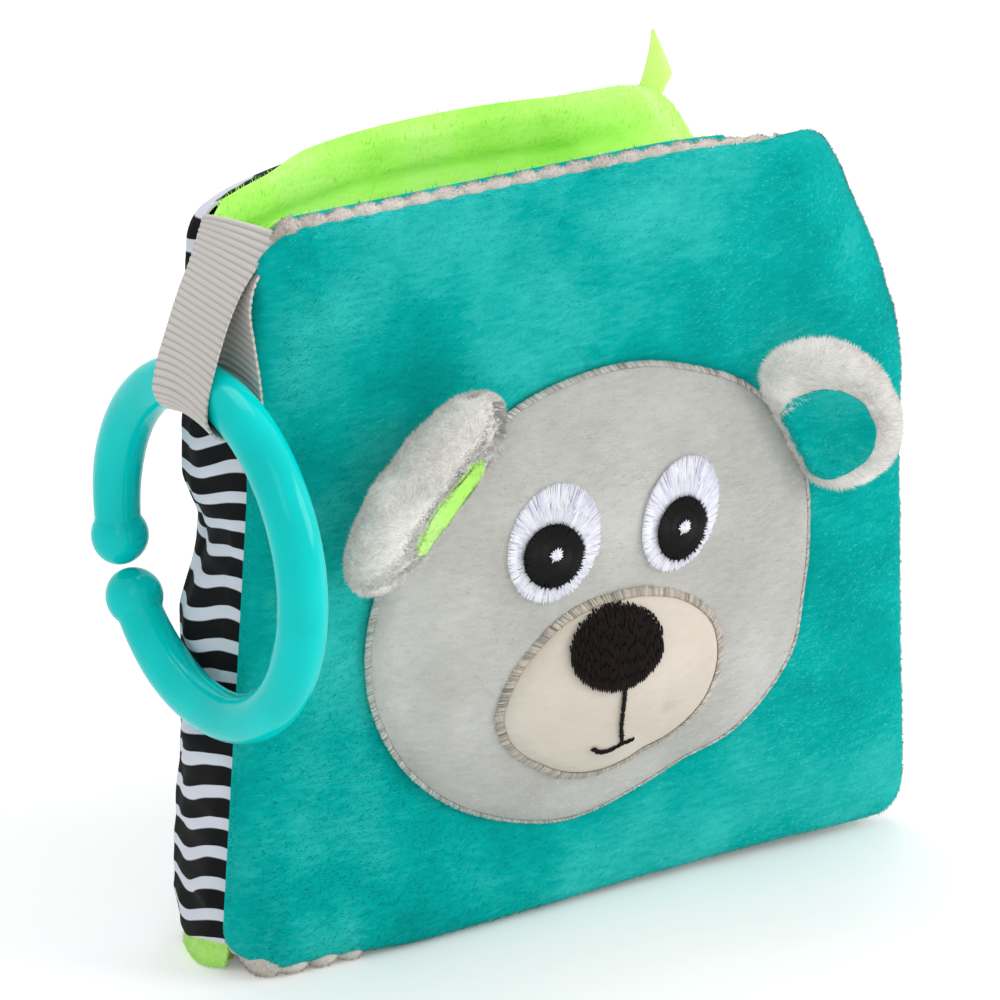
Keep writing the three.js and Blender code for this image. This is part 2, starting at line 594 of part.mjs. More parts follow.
function makeRing(wasm) {
  const start = rad(ringGapAngle + ringEndHalf);
  const sweep = 2 * Math.PI - 2 * rad(ringEndHalf);
  const radiusAt = (share) => ringRadius + ringBallOut * Math.cos(Math.PI * share) ** 16;
  class RingPath extends THREE.Curve {
    getPoint(share) {
      const angle = start + sweep * share;
      return new THREE.Vector3(0, radiusAt(share) * Math.cos(angle), radiusAt(share) * Math.sin(angle));
    }
  }
  const extrudePath = new RingPath();
  const section = new THREE.Shape(ellipse(0, 0, 2 * ringBar, 2 * ringBar, 0, 10));
  const bar = new THREE.ExtrudeGeometry(section, { steps: 40, extrudePath, bevelEnabled: false });
  let solid = solidOf(wasm, bar);
  for (const share of [0, 1]) {
    const ball = new THREE.SphereGeometry(ringBall, 12, 8);
    ball.translate(...extrudePath.getPoint(share).toArray());
    solid = solid.add(solidOf(wasm, ball));
  }
  const mesh = addPiece("teether_ring", geometryOf(solid), colour.ring, 0.15);
  mesh.position.set(ringX, ringY, ringTop - ringRadius);
  mesh.rotation.z = rad(ringYaw);
}

function solidOf(wasm, geometry) {
  const bare = new THREE.BufferGeometry();
  bare.setAttribute("position", geometry.getAttribute("position"));
  bare.setIndex(geometry.index);
  const merged = mergeSpots(bare);
  return new wasm.Manifold(new wasm.Mesh({
    numProp: 3,
    vertProperties: merged.points,
    triVerts: merged.faces,
  }));
}

// Shares the vertices that lie at one place and drops the slivers that this closes
function mergeSpots(geometry) {
  const position = geometry.getAttribute("position");
  const index = geometry.index ? Array.from(geometry.index.array) : [...Array(position.count).keys()];
  const places = new Map();
  const points = [];
  const faces = [];
  const spots = index.map((i) => {
    const spot = [position.getX(i), position.getY(i), position.getZ(i)];
    const key = spot.map((value) => Math.round(value / mergeStep)).join();
    if (!places.has(key)) {
      places.set(key, points.length / 3);
      points.push(...spot);
    }
    return places.get(key);
  });
  for (let i = 0; i < spots.length; i += 3) {
    const [a, b, c] = spots.slice(i, i + 3);
    if (a !== b && b !== c && c !== a) faces.push(a, b, c);
  }
  return { points: new Float32Array(points), faces: new Uint32Array(faces) };
}

function geometryOf(solid) {
  const mesh = solid.getMesh();
  const geometry = new THREE.BufferGeometry();
  geometry.setAttribute("position", new THREE.BufferAttribute(mesh.vertProperties, 3));
  geometry.setIndex(new THREE.BufferAttribute(mesh.triVerts, 1));
  geometry.computeVertexNormals();
  return geometry;
}

const seatHeight = spineHeight + clearance + ribbonThick;
const ringTop = seatHeight + ribbonThick / 2 - ringHang + ringBar;

const outerStrandShares = [[0, 0], [0.1, 0.04], [0.24, 0.17], [0.5, 0.45], [0.89, 0.77]];
const innerStrandShares = [[0.92, 0.51], [0.8, 0.14], [0.62, 0.01], [0.3, 0], [0, 0]];
const ringSag = (reach) => ringRadius - Math.sqrt(ringRadius ** 2 - reach ** 2);

// The ribbon leaves its seam over the spine's top, hangs outside the ring, passes under it and comes back
function makeRibbon() {
  const wrap = ringBar + ribbonSlack + ribbonThick / 2;
  const barZ = ringTop;
  const spineSide = ringX + wrap;
  const [outerTop, innerTop] = [seatHeight + ribbonThick, seatHeight - ribbonThick / 2];
  const strand = (shares, x, top) => shares.map(([u, v]) => [lerp(ribbonSeatX, x, u), lerp(top, barZ, v)]);
  const path = strand(outerStrandShares, ringX - wrap, outerTop);
  for (const turn of [180, 210, 240, 270, 300, 330, 360]) {
    path.push([ringX + wrap * Math.cos(rad(turn)), barZ + wrap * Math.sin(rad(turn))]);
  }
  path.push(...strand(innerStrandShares, spineSide, innerTop));
  const knots = path.map(([x, z]) => new THREE.Vector3(x, 0, z));
  const curve = new THREE.CatmullRomCurve3(knots, false, "centripetal");
  const steps = 32;
  const lengthShares = Array.from({ length: steps + 1 }, (_, i) => i / steps);
  const side = (sign) => (u, v) => {
    const spot = curve.getPointAt(v);
    const along = curve.getTangentAt(v);
    const lift = new THREE.Vector3(along.z, 0, -along.x).multiplyScalar((sign * ribbonThick) / 2);
    const drop = THREE.MathUtils.clamp((seatHeight - spot.z) / (seatHeight - barZ), 0, 1);
    const skew = rad(lerp(ribbonSkew, ringYaw, drop));
    const reach = (u - 0.5) * ribbonWide;
    const sag = ringSag(reach) * THREE.MathUtils.smoothstep(drop, 0.5, 1);
    return new THREE.Vector3(
      spot.x + lift.x - reach * Math.sin(skew),
      lerp(ribbonSeatY, ringY, drop) + reach * Math.cos(skew),
      spot.z + lift.z - sag,
    );
  };
  const acrossShares = [0, 0.33, 0.67, 1];
  addPiece("hanging_ribbon", sheetBody(acrossShares, lengthShares, side(-1), side(1)), colour.ribbon);
}

// A short satin ribbon standing in the back cover's upper seam, folded to a point
function makeTag() {
  const across = [0, 0.5, 1];
  const turnUp = tagShoulderUp / tagTall;
  const up = [0, turnUp / 2, turnUp, (1 + turnUp) / 2, 1];
  const seamUp = leafHeight - backShort - cornerCut(leafWidth - tagAcross, tipRadius);
  const spot = backPoint(tagAcross, seamUp, 0);
  const side = (out) => (u, v) => {
    const below = lerp(tagWide, tagShoulder, v / turnUp);
    const width = v < turnUp ? below : lerp(tagShoulder, tagTip, (v - turnUp) / (1 - turnUp));
    const x = spot.x + u * width + (tagLean - tagWide / 2) * v - (tagWide / 2) * (1 - v);
    return new THREE.Vector3(x, spot.y + out + tagLean * v ** 2, spot.z + tagLift + v * tagTall);
  };
  addPiece("page_tag", sheetBody(across, up, side(-tagThick / 2), side(tagThick / 2)), colour.lime);
}

makeFrontCover();
makeMiddlePage();
makeBackCover();
makeSpine();
makeHead();
makeMuzzle();
makeFaceStitching();
makeEar("left", ears.left, colour.lime, colour.bearPale);
makeEar("right", ears.right, colour.teal, colour.bearPale);
makeRibbon();
const wasm = await Module();
wasm.setup();
makeRing(wasm);
makeTag();

// The origin is at the middle of the footprint, on the floor
const reach = new THREE.Box3().setFromObject(book);
book.position.set(-(reach.min.x + reach.max.x) / 2, -(reach.min.y + reach.max.y) / 2, -reach.min.z);
export default part;
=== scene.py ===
import math

import bmesh
import bpy
import numpy as np
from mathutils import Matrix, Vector


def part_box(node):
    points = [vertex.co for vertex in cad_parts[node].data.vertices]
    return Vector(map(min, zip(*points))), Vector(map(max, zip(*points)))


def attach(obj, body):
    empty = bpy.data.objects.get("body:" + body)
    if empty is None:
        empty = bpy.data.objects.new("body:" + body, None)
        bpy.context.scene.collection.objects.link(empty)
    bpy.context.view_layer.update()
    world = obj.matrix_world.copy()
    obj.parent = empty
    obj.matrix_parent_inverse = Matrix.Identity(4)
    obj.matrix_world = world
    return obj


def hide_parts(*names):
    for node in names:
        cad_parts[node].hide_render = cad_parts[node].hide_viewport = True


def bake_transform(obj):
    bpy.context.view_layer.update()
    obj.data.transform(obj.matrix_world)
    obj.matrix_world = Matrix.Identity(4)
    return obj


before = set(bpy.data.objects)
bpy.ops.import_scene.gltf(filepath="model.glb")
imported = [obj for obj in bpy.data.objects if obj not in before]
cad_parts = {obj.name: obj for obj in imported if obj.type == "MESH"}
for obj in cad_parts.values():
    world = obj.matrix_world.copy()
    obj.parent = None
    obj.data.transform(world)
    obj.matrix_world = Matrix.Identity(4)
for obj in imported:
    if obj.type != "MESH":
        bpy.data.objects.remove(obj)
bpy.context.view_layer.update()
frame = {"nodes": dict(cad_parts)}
nodes = frame["nodes"]

# Sizes in millimetres, in the book's own frame: +X across the cover, +Y to the back, +Z up
leaf = {"width": 147.5, "height": 150.5, "corner": 8, "tip": 23, "drop": 2.5, "seam": 1.9, "roll": 16}
plan = {"leftTop": 4.9, "leftBottom": -5.3, "rightDraw": 4}
curl = {"radius": 16, "turn": 80, "slope": 29.4, "start": 120, "below": 15, "backEarly": 22}
back = {"start": 19.7, "lead": 36, "trail": -20, "arc": 105, "edgeTop": -1.4, "edgeBottom": -5.8}
fold = {"height": 82, "depth": 5, "half": 9, "reach": 10}
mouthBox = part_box("mouth_line_stitching")
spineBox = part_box("spine_cloth")
bookShift = np.array([(mouthBox[0].x + mouthBox[1].x) * 500 - 73.1, spineBox[0].y * 1000 - 2.8, 0])


def smooth(t):
    t = np.clip(t, 0, 1)
    return t * t * (3 - 2 * t)


# Soft uneven swell between about -1 and 1
def swell(x, y, wave, seed):
    gen = np.random.default_rng(seed)
    total = 0
    for i in range(7):
        turn, stretch, start = gen.uniform(0, 6.3), gen.uniform(0.6, 1.6), gen.uniform(0, 6.3)
        along = x * math.cos(turn) + y * math.sin(turn)
        total = total + np.sin(along * 2 * math.pi / (wave * stretch) + start)
    return total / 3.6


def unit(vectors):
    return vectors / np.maximum(np.linalg.norm(vectors, axis=1, keepdims=True), 1e-9)


def roll(distance):
    return np.sqrt(1 - (1 - np.clip(distance / leaf["roll"], 0, 1)) ** 2)


def cornerCut(low, radius):
    return radius - np.sqrt(radius ** 2 - np.maximum(radius - low, 0) ** 2)


def leftEdge(up):
    return plan["leftBottom"] + (plan["leftTop"] - plan["leftBottom"]) * up / leaf["height"]


def pinch(up):
    return fold["depth"] * np.exp(-(((up - fold["height"]) / fold["half"]) ** 2))


def spineBackEdge(up):
    return back["edgeBottom"] + (back["edgeTop"] - back["edgeBottom"]) * up / leaf["height"] + pinch(up)


# Bends the upper far corner of a leaf back
def curlBack(across, up, out, start):
    slope, most = math.radians(curl["slope"]), math.radians(curl["turn"])
    radius = curl["radius"]
    past = (across - start) * math.cos(slope) + (up - (leaf["height"] - curl["below"])) * math.sin(slope)
    past = np.maximum(past, 0)
    turn = np.minimum(past / radius, most)
    rest = past - turn * radius
    along = radius * np.sin(turn) + rest * np.cos(turn) - out * np.sin(turn)
    rise = radius * (1 - np.cos(turn)) + rest * np.sin(turn) + out * np.cos(turn)
    return across + (along - past) * math.cos(slope), up + (along - past) * math.sin(slope), rise


def frontPlace(across, up, out):
    farTop = smooth((across - 95) / 35) * smooth((up - 105) / 45)
    across = across + 1.5 * np.exp(-(((up - 112) / 20) ** 2)) * smooth((across - 125) / 22)
    up = up - 2 * farTop
    flatX, z, y = curlBack(across, up, out, curl["start"])
    left = leftEdge(z)
    right = leaf["width"] - plan["rightDraw"] * z / leaf["height"]
    return np.stack([left + (right - left) * flatX / leaf["width"], y, z + leaf["drop"]], 1)


def backPlace(across, up, out):
    along, z, y = curlBack(across, up, out, curl["start"] - curl["backEarly"])
    lead = math.radians(back["lead"])
    radius = back["arc"] / math.radians(back["lead"] - back["trail"])
    bent = np.minimum(along, back["arc"])
    turn = lead - bent / radius
    rest = along - bent
    start = spineBackEdge(z) + leaf["seam"] - pinch(z) * np.clip(along / fold["reach"], 0, 1)
    x = start + radius * (math.sin(lead) - np.sin(turn)) + rest * np.cos(turn) - y * np.sin(turn)
    deep = back["start"] + radius * (np.cos(turn) - math.cos(lead)) + rest * np.sin(turn) + y * np.cos(turn)
    return np.stack([x, deep, z + leaf["drop"]], 1)


def spineOuter(depth, up):
    share = depth / back["start"]
    return leftEdge(up) + (spineBackEdge(up) - leftEdge(up)) * share - 1.2 * np.sin(math.pi * share)


page = {"middle": 9.5, "clear": 1.6, "inset": 2}


def pagePlace(across, up, out):
    start = spineOuter(page["middle"], up) + 6 + page["clear"] - leftEdge(up)
    spread = start + (leaf["width"] - page["inset"] - start) * across / leaf["width"]
    return frontPlace(spread, up, page["middle"] + out)


# One face of a leaf: side is -1 for the face towards the reader and 1 for the one behind it
def leafFace(place, side, crown, drop=0, short=0, rib=None, crease=0.35, seed=1, seamShift=0):
    def at(u, v):
        top = leaf["height"] - short
        up = -drop + (top + drop) * v
        near = np.minimum(up + drop, top - up)
        cut = cornerCut(near, leaf["corner"])
        farCut = np.maximum(cornerCut(up + drop, leaf["corner"]), cornerCut(top - up, leaf["tip"]))
        across = cut + (leaf["width"] - farCut - cut) * u
        edge = np.minimum(np.minimum(across - cut, leaf["width"] - farCut - across), near)
        padding = roll(across) * roll(leaf["width"] - across) * roll(up + drop) * roll(top - up)
        rim = np.sqrt(1 - (1 - np.clip(edge / 3, 0, 1)) ** 2)
        seam = 0.1 + seamShift * (1 - smooth((across - 10) / 45))
        fill = seam + (leaf["seam"] - seam) * rim + crown * padding
        fill = fill + crease * rim * (swell(across, up, 38, seed) + 0.5 * swell(across, up, 13, seed + 1))
        if rib:
            fill = fill + rib(across, up, rim)
        return place(across, up, side * fill)
    return at


# A working mesh of the book's points, moved into the frame's metres
def addPiece(name, mesh, body, look):
    mesh.name = name
    piece = bpy.data.objects.new(name, mesh)
    bpy.context.scene.collection.objects.link(piece)
    piece.data.materials.append(look)
    for face in piece.data.polygons:
        face.use_smooth = True
    piece.data.set_sharp_from_angle(angle=math.radians(50))
    if body:
        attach(piece, body)
    return piece


# Sews a cloth over a face: a grid laid on it, given its thickness towards the padding
def layCloth(name, at, body, look, columns, rows, thick, outward, closed=False):
    cloth = bmesh.new()
    uv = cloth.loops.layers.uv.new("cloth")
    bmesh.ops.create_grid(cloth, x_segments=columns, y_segments=rows, size=0.5, calc_uvs=True)
    # rows lie closer together near the rims
    flat = np.array([vert.co[:2] for vert in cloth.verts]) + 0.5
    flat = 0.5 * flat + 0.25 - 0.25 * np.cos(math.pi * flat)
    placed = (at(flat[:, 0], flat[:, 1]) + bookShift) / 1000
    for face in cloth.faces:
        for loop in face.loops:
            loop[uv].uv = flat[loop.vert.index]
    for vert, spot in zip(cloth.verts, placed):
        vert.co = spot
    if closed:
        bmesh.ops.remove_doubles(cloth, verts=cloth.verts, dist=1e-6)
    cloth.normal_update()
    middle = sum((face.normal * face.calc_area() for face in cloth.faces), Vector())
    if middle.dot(Vector(outward)) < 0:
        bmesh.ops.reverse_faces(cloth, faces=cloth.faces)
    cloth.normal_update()
    made = bmesh.ops.extrude_face_region(cloth, geom=cloth.faces[:], use_keep_orig=True)
    outer = {part for part in made["geom"] if isinstance(part, bmesh.types.BMVert)}
    # the faces left behind now look towards the padding
    for vert in cloth.verts:
        if vert not in outer:
            vert.co += vert.normal * thick / 1000
    mesh = bpy.data.meshes.new(name)
    cloth.to_mesh(mesh)
    cloth.free()
    tone = mesh.attributes.new("tone", "FLOAT", "POINT")
    tone.data.foreach_set("value", [0.35] * len(mesh.vertices))
    return addPiece(name, mesh, body, look)


# A padded cloth, and the CAD cloths it stands for
def layPadded(name, at, body, look, grid, thick, outward, nodes=(), closed=False):
    cloth = layCloth(name, at, body, look, *grid, thick, outward, closed)
    if nodes:
        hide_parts(*nodes)
    return cloth


# Copies a small shape onto many places; each frame's columns are its width, thickness and length
def scatter(name, shape, frames, spots, tones, body, look, ground=None):
    base = np.array([vert.co[:] for vert in shape.verts])
    faces = [[vert.index for vert in face.verts] for face in shape.faces]
    shape.free()
    count, size = len(spots), len(base)
    if np.linalg.det(frames[0]) < 0:
        frames = frames * [-1, 1, 1]
    points = np.einsum("nij,kj->nki", frames, base) + spots[:, None, :]
    mesh = bpy.data.meshes.new(name)
    mesh.vertices.add(count * size)
    mesh.vertices.foreach_set("co", ((points + bookShift) / 1000).astype(np.float32).ravel())
    corners = np.concatenate([np.array(face) for face in faces])
    starts = np.cumsum([0] + [len(face) for face in faces[:-1]])
    loops = (corners[None, :] + size * np.arange(count)[:, None]).ravel()
    mesh.loops.add(len(loops))
    mesh.loops.foreach_set("vertex_index", loops.astype(np.int32))
    mesh.polygons.add(count * len(faces))
    mesh.polygons.foreach_set(
        "loop_start", (starts[None, :] + len(corners) * np.arange(count)[:, None]).ravel().astype(np.int32))
    mesh.update(calc_edges=True)
    tone = mesh.attributes.new("tone", "FLOAT", "POINT")
    tone.data.foreach_set("value", np.repeat(np.clip(tones, 0, 1), size).astype(np.float32))
    baked = mesh.uv_layers.new(name="OFBake")
    cell = 1 / 64
    column = np.floor(np.clip(tones, 0, 0.999) * 64) * cell
    row = np.random.default_rng(3).integers(0, 64, count) * cell
    own = np.stack([base[corners, 0] + 0.5, (base[corners, 2] + 0.5 * base[corners, 1] + 0.25) * 0.6], 1)
    uvs = own[None] * cell * 0.8 + np.stack([column, row], 1)[:, None] + cell * 0.1
    baked.data.foreach_set("uv", np.clip(uvs, 0, 1).astype(np.float32).ravel())
    piece = addPiece(name, mesh, body, look)
    if ground is not None:
        # light passes through pile: it is shaded in part as the cloth under it and casts no shadow on itself
        own = unit(np.einsum("nij,kj->nki", frames, base * [1, 1, 0]).reshape(-1, 3))
        under = np.repeat(ground, size, 0)
        mesh.normals_split_custom_set_from_vertices(unit(own + 1.2 * under))
        piece.visible_shadow = piece.visible_diffuse = False
    return piece


def tuftShape():
    tuft = bmesh.new()
    bmesh.ops.create_cone(tuft, cap_ends=True, segments=3, radius1=0.5, radius2=0, depth=1)
    bmesh.ops.remove_doubles(tuft, verts=tuft.verts, dist=1e-4)
    bmesh.ops.translate(tuft, verts=tuft.verts, vec=(0, 0, 0.5))
    return tuft


# Pile: tufts rooted evenly over a face, laid along the nap
def growPile(name, at, body, look, pile, facing, keep=None):
    gen = np.random.default_rng(pile["seed"])
    tries = pile["count"] * pile.get("tries", 3)
    u, v = gen.random(tries), gen.random(tries)
    lowU, highU = np.clip(u - 0.003, 0, 1), np.clip(u + 0.003, 0, 1)
    lowV, highV = np.clip(v - 0.003, 0, 1), np.clip(v + 0.003, 0, 1)
    alongU = (at(highU, v) - at(lowU, v)) / (highU - lowU)[:, None]
    alongV = (at(u, highV) - at(u, lowV)) / (highV - lowV)[:, None]
    spots = at(u, v)
    across = np.cross(alongU, alongV)
    area = np.linalg.norm(across, axis=1)
    kept = gen.random(tries) < area / np.quantile(area, pile.get("even", 0.98))
    if keep is not None:
        kept = kept & keep(spots)
    kept = np.flatnonzero(kept)[:pile["count"]]
    spots, alongU, alongV = spots[kept], alongU[kept], alongV[kept]
    normal = unit(across[kept]) * facing
    right = unit(alongU)
    if "lead" in pile:
        lead = np.array(pile["lead"], float)
        right = unit(lead - normal * (normal @ lead)[:, None])
    upward = unit(np.cross(normal, right))
    count = len(kept)
    x, y = spots[:, 0] + 0.4 * spots[:, 1], spots[:, 2]
    wave = 1.1 * swell(x, y, pile["patch"], pile["seed"] + 9) + 0.7 * swell(x, y, 6, 77) + 0.6 * swell(x, y, 2.4, 78)
    turn = math.radians(pile["nap"]) + math.radians(pile["stray"]) * (wave + 0.5 * gen.normal(size=count))
    lean = np.radians(np.clip(pile["lean"] + 7 * gen.normal(size=count), 6, 85))
    lay = right * np.cos(turn)[:, None] + upward * np.sin(turn)[:, None]
    stand = lay * np.cos(lean)[:, None] + normal * np.sin(lean)[:, None]
    length = pile["long"] * (0.7 + 0.5 * gen.random(count))
    if "shortBy" in pile:
        length = length * (0.4 + 0.6 * smooth((spots[:, 0] - leftEdge(y) + 1) / pile["shortBy"]))
    wide = pile["wide"] * (0.7 + 0.6 * gen.random(count))
    beside = unit(np.cross(stand, normal))
    flat = np.cross(beside, stand)
    frames = np.stack([beside * wide[:, None], flat * wide[:, None] * 0.7, stand * length[:, None]], 2)
    tones = 0.35 + 0.1 * gen.normal(size=count) + 0.07 * swell(x, y, pile["patch"], 31) + 0.07 * swell(x, y, 2.6, 5)
    # painted shade and light: the tone is darkened or lightened in soft round spots at the listed places, standing in
    # for shade and light on the plush
    for placeX, placeZ, reach, deep in pile.get("paintedShadeAndLight", ()):
        tones = tones + deep * np.exp(-((spots[:, 0] - placeX) ** 2 + (y - placeZ) ** 2) / reach ** 2)
    return scatter(name, tuftShape(), frames, spots - normal * 0.2, tones, body, look,
                   unit(normal + np.array(pile.get("glow", (0, 0, 0)))))


def colour(code):
    channels = [int(code[i:i + 2], 16) / 255 for i in (0, 2, 4)]
    return [c / 12.92 if c <= 0.04045 else ((c + 0.055) / 1.055) ** 2.4 for c in channels] + [1]


def addNode(look, kind, inputs=None, **settings):
    made = look.node_tree.nodes.new(kind)
    for key, value in settings.items():
        setattr(made, key, value)
    for socket, value in (inputs or {}).items():
        if isinstance(value, bpy.types.NodeSocket):
            look.node_tree.links.new(value, made.inputs[socket])
        else:
            made.inputs[socket].default_value = value
    return made


def calc(look, operation, *values):
    return addNode(look, "ShaderNodeMath", dict(enumerate(values)), operation=operation).outputs[0]


def noise(look, place, size, detail):
    return addNode(look, "ShaderNodeTexNoise", {"Vector": place, "Scale": size, "Detail": detail}).outputs["Fac"]


def objectPlace(look):
    return addNode(look, "ShaderNodeTexCoord").outputs["Object"]


def startLook(name, **shader):
    look = bpy.data.materials.new(name)
    look.use_nodes = True
    surface = look.node_tree.nodes["Principled BSDF"]
    for socket, value in shader.items():
        surface.inputs[socket.replace("_", " ")].default_value = value
    return look, surface


def colourSteps(look, factor, steps):
    ramp = addNode(look, "ShaderNodeValToRGB", {"Fac": factor})
    for i, (place, code) in enumerate(steps):
        stop = ramp.color_ramp.elements[i] if i < 2 else ramp.color_ramp.elements.new(place)
        stop.position, stop.color = place, colour(code)
    return ramp.outputs["Color"]


# Wires the colour and a bump of so many metres to the shader
def finishLook(look, surface, tint, height, strength, deep):
    bump = addNode(look, "ShaderNodeBump", {"Height": height, "Strength": strength, "Distance": deep})
    look.node_tree.links.new(tint, surface.inputs["Base Color"])
    look.node_tree.links.new(bump.outputs[0], surface.inputs["Normal"])
    return look


# Polyester plush, brushed: each tuft has its own tone, with painted shade and light worked into it in places, the nap
# lies lighter and darker in patches
def plushLook(name, dark, mid, light):
    look, surface = startLook(name, Roughness=0.95, Sheen_Weight=0.12, Sheen_Roughness=0.4,
                              Sheen_Tint=colour(light), Specular_IOR_Level=0.06)
    place = objectPlace(look)
    # streaks about 4 mm long and 1 mm wide, patches about 25 mm across
    streaks = addNode(look, "ShaderNodeMapping", {"Vector": place, "Scale": (260, 700, 900)})
    grain = noise(look, streaks.outputs[0], 1.0, 3.0)
    patches = noise(look, place, 40.0, 2.0)
    tone = addNode(look, "ShaderNodeAttribute", attribute_name="tone").outputs["Fac"]
    mixed = calc(look, "MULTIPLY_ADD", patches, 0.55, calc(look, "MULTIPLY_ADD", grain, 0.2, tone))
    tint = colourSteps(look, mixed, [(0.5, dark), (0.96, light), (0.72, mid)])
    return finishLook(look, surface, tint, grain, 0.3, 0.0003)


tealPlush = plushLook("teal_polyester_plush", "00827D", "00A9A3", "42CEC6")
limePlush = plushLook("lime_polyester_plush", "90EA48", "BAFC72", "DAFFAC")
greyPlush = plushLook("grey_polyester_plush", "A6A4A0", "C0BFBA", "DAD9D5")
palePlush = plushLook("pale_grey_polyester_plush", "BFBDB7", "DEDCD6", "F3F2ED")
creamPlush = plushLook("cream_brushed_knit", "CBC0B2", "D8CEC1", "E5DCD1")
ribPlush = plushLook("warm_grey_boucle_plush", "A39A90", "CDC5BC", "EAE4DC")
print("looks of the plush made")

# Front cover
frontCover = {"crown": 2.9, "ribPitch": 6.2, "ribHeight": 1.6, "overSpine": 1.3, "bulge": 5.4, "droop": 1.9,
              "overTop": 1.6, "overFar": 0.9}


def ribShape(across):
    return np.abs(np.sin(math.pi * (across - 2) / frontCover["ribPitch"])) ** 0.6


def ribSwell(across, up, rim):
    return frontCover["ribHeight"] * (ribShape(across) - 0.6) * np.minimum(rim + 0.3, 1)


def ribPlace(across, up, out):
    lift = 1.9 * (1 - smooth((up + leaf["drop"]) / 5))
    tuck = 1.5 * (1 - smooth(across / 6)) * smooth((up - 4) / 8) * (1 - smooth((up - 140) / 8))
    return frontPlace(across + tuck, up + lift, out)


# Each rib ends in a soft lump past the seam: all along the top, at the bottom by the spine only
lumps = {"top": {"first": 1, "last": 121, "up": leaf["height"] - 0.2, "least": 0.45, "swell": 1.15, "way": 1,
                 "columns": 260},
         "low": {"first": 1.5, "last": 27, "up": 0.1, "least": 0.7, "swell": 1.8, "way": -1, "columns": 60}}


def lumpRow(row):
    def at(u, v):
        across = row["first"] + (row["last"] - row["first"]) * u
        ends = np.clip(np.minimum(across - row["first"], row["last"] - across) / 2.5, 0, 1) ** 0.5
        radius = (row["least"] + row["swell"] * ribShape(across)) * (0.05 + 0.95 * ends)
        radius = radius * (1 - 0.45 * smooth((across - 85) / 30)) + 0.7 * np.exp(-(((across - 5.4) / 2.4) ** 2))
        turn = np.radians(-70 + 320 * v)
        up = row["up"] + row["way"] * (radius * np.sin(turn) - cornerCut(across, leaf["corner"]))
        if row["way"] < 0:
            spots = frontPlace(across, up, 0.6 - cornerBulge(across, 0) - (radius + 0.8) * np.cos(turn))
            # pressed flat where it stands on the table
            spots[:, 2] = np.maximum(spots[:, 2], 0.5)
            return spots
        return frontPlace(across, up, 1.2 - radius * np.cos(turn))
    return at


# The plush is drawn in where it is sewn: creases fan out from the ribbon's end and from the lower corner
def pulls(across, up, rim):
    total = 0
    for turn, reach, deep in ((-18, 34, 0.8), (-40, 26, 0.9), (-66, 30, 0.7), (-84, 40, 0.5)):
        dirX, dirY = math.cos(math.radians(turn)), math.sin(math.radians(turn))
        x, y = across - 1, up - leaf["height"] + 1
        far, aside = x * dirX + y * dirY, x * dirY - y * dirX
        crease = np.exp(-((aside / (1.5 + 0.07 * np.maximum(far, 0))) ** 2))
        total = total - deep * crease * smooth(far / 6) * (1 - smooth((far - reach * 0.4) / reach))
    x, y = across - 138, up - 122
    total = total - 0.9 * np.exp(-(((x + 0.5 * y) / 5) ** 2 + ((y - 0.5 * x) / 22) ** 2))
    return total * rim


# How far the stuffed lower corner by the spine stands forward
def cornerBulge(across, up):
    beside = smooth(across / 9) * (1 - smooth((across - 20) / 105))
    return frontCover["bulge"] * beside * np.exp(-(((up - 2) / 15) ** 2))


def plushPlace(across, up, out):
    over = frontCover["overSpine"] * (1 - smooth(across / 5)) + frontCover["overTop"] * (
        1 - smooth(across / 12)) * smooth((up - 95) / 25)
    over = over - frontCover["overFar"] * smooth((across - leaf["width"] + 8) / 8)
    droop = frontCover["droop"] * (1 - smooth(up / 12)) * (1 - 0.75 * smooth((across - 20) / 110))
    droop = droop * (0.2 + 0.8 * smooth((across - 14) / 26))
    return frontPlace(across - over, up - droop, out - cornerBulge(across, up))


head = {"x": 72.8, "z": 63.9, "wide": 99, "tall": 93.5, "edge": 2, "rise": 6.4}
face = leaf["seam"] + 3.2
coverAt = leafFace(plushPlace, -1, frontCover["crown"], rib=pulls, seed=11)
layPadded("front_cover_plush", coverAt, "front_cover", tealPlush, (110, 114), 1.2, (0, -1, 0),
          ["front_cover_cloth"])


def outsideHead(spots):
    return ((spots[:, 0] - head["x"]) / 45) ** 2 + ((spots[:, 2] - head["z"] - leaf["drop"]) / 42) ** 2 > 1


# the listed spots paint shade and light into the tone: darker at the top left by the ribbon's end, down the left side
# and at the top middle, lighter towards the right
coverPile = {"count": 41000, "long": 1.4, "wide": 0.24, "nap": 190, "stray": 20, "lean": 15, "patch": 34, "seed": 21,
             "shortBy": 6,
             "paintedShadeAndLight": [(10, 134, 17, -0.2), (24, 24, 38, -0.3), (60, 124, 26, -0.08), (122, 128, 22, 0.08),
                        (130, 40, 32, 0.1), (20, 84, 22, -0.08)]}
for layer in range(3):
    coverPile["seed"] = 21 + 40 * layer
    pile = growPile(f"front_cover_pile_{layer + 1}", coverAt, "front_cover", tealPlush, coverPile, 1, outsideHead)

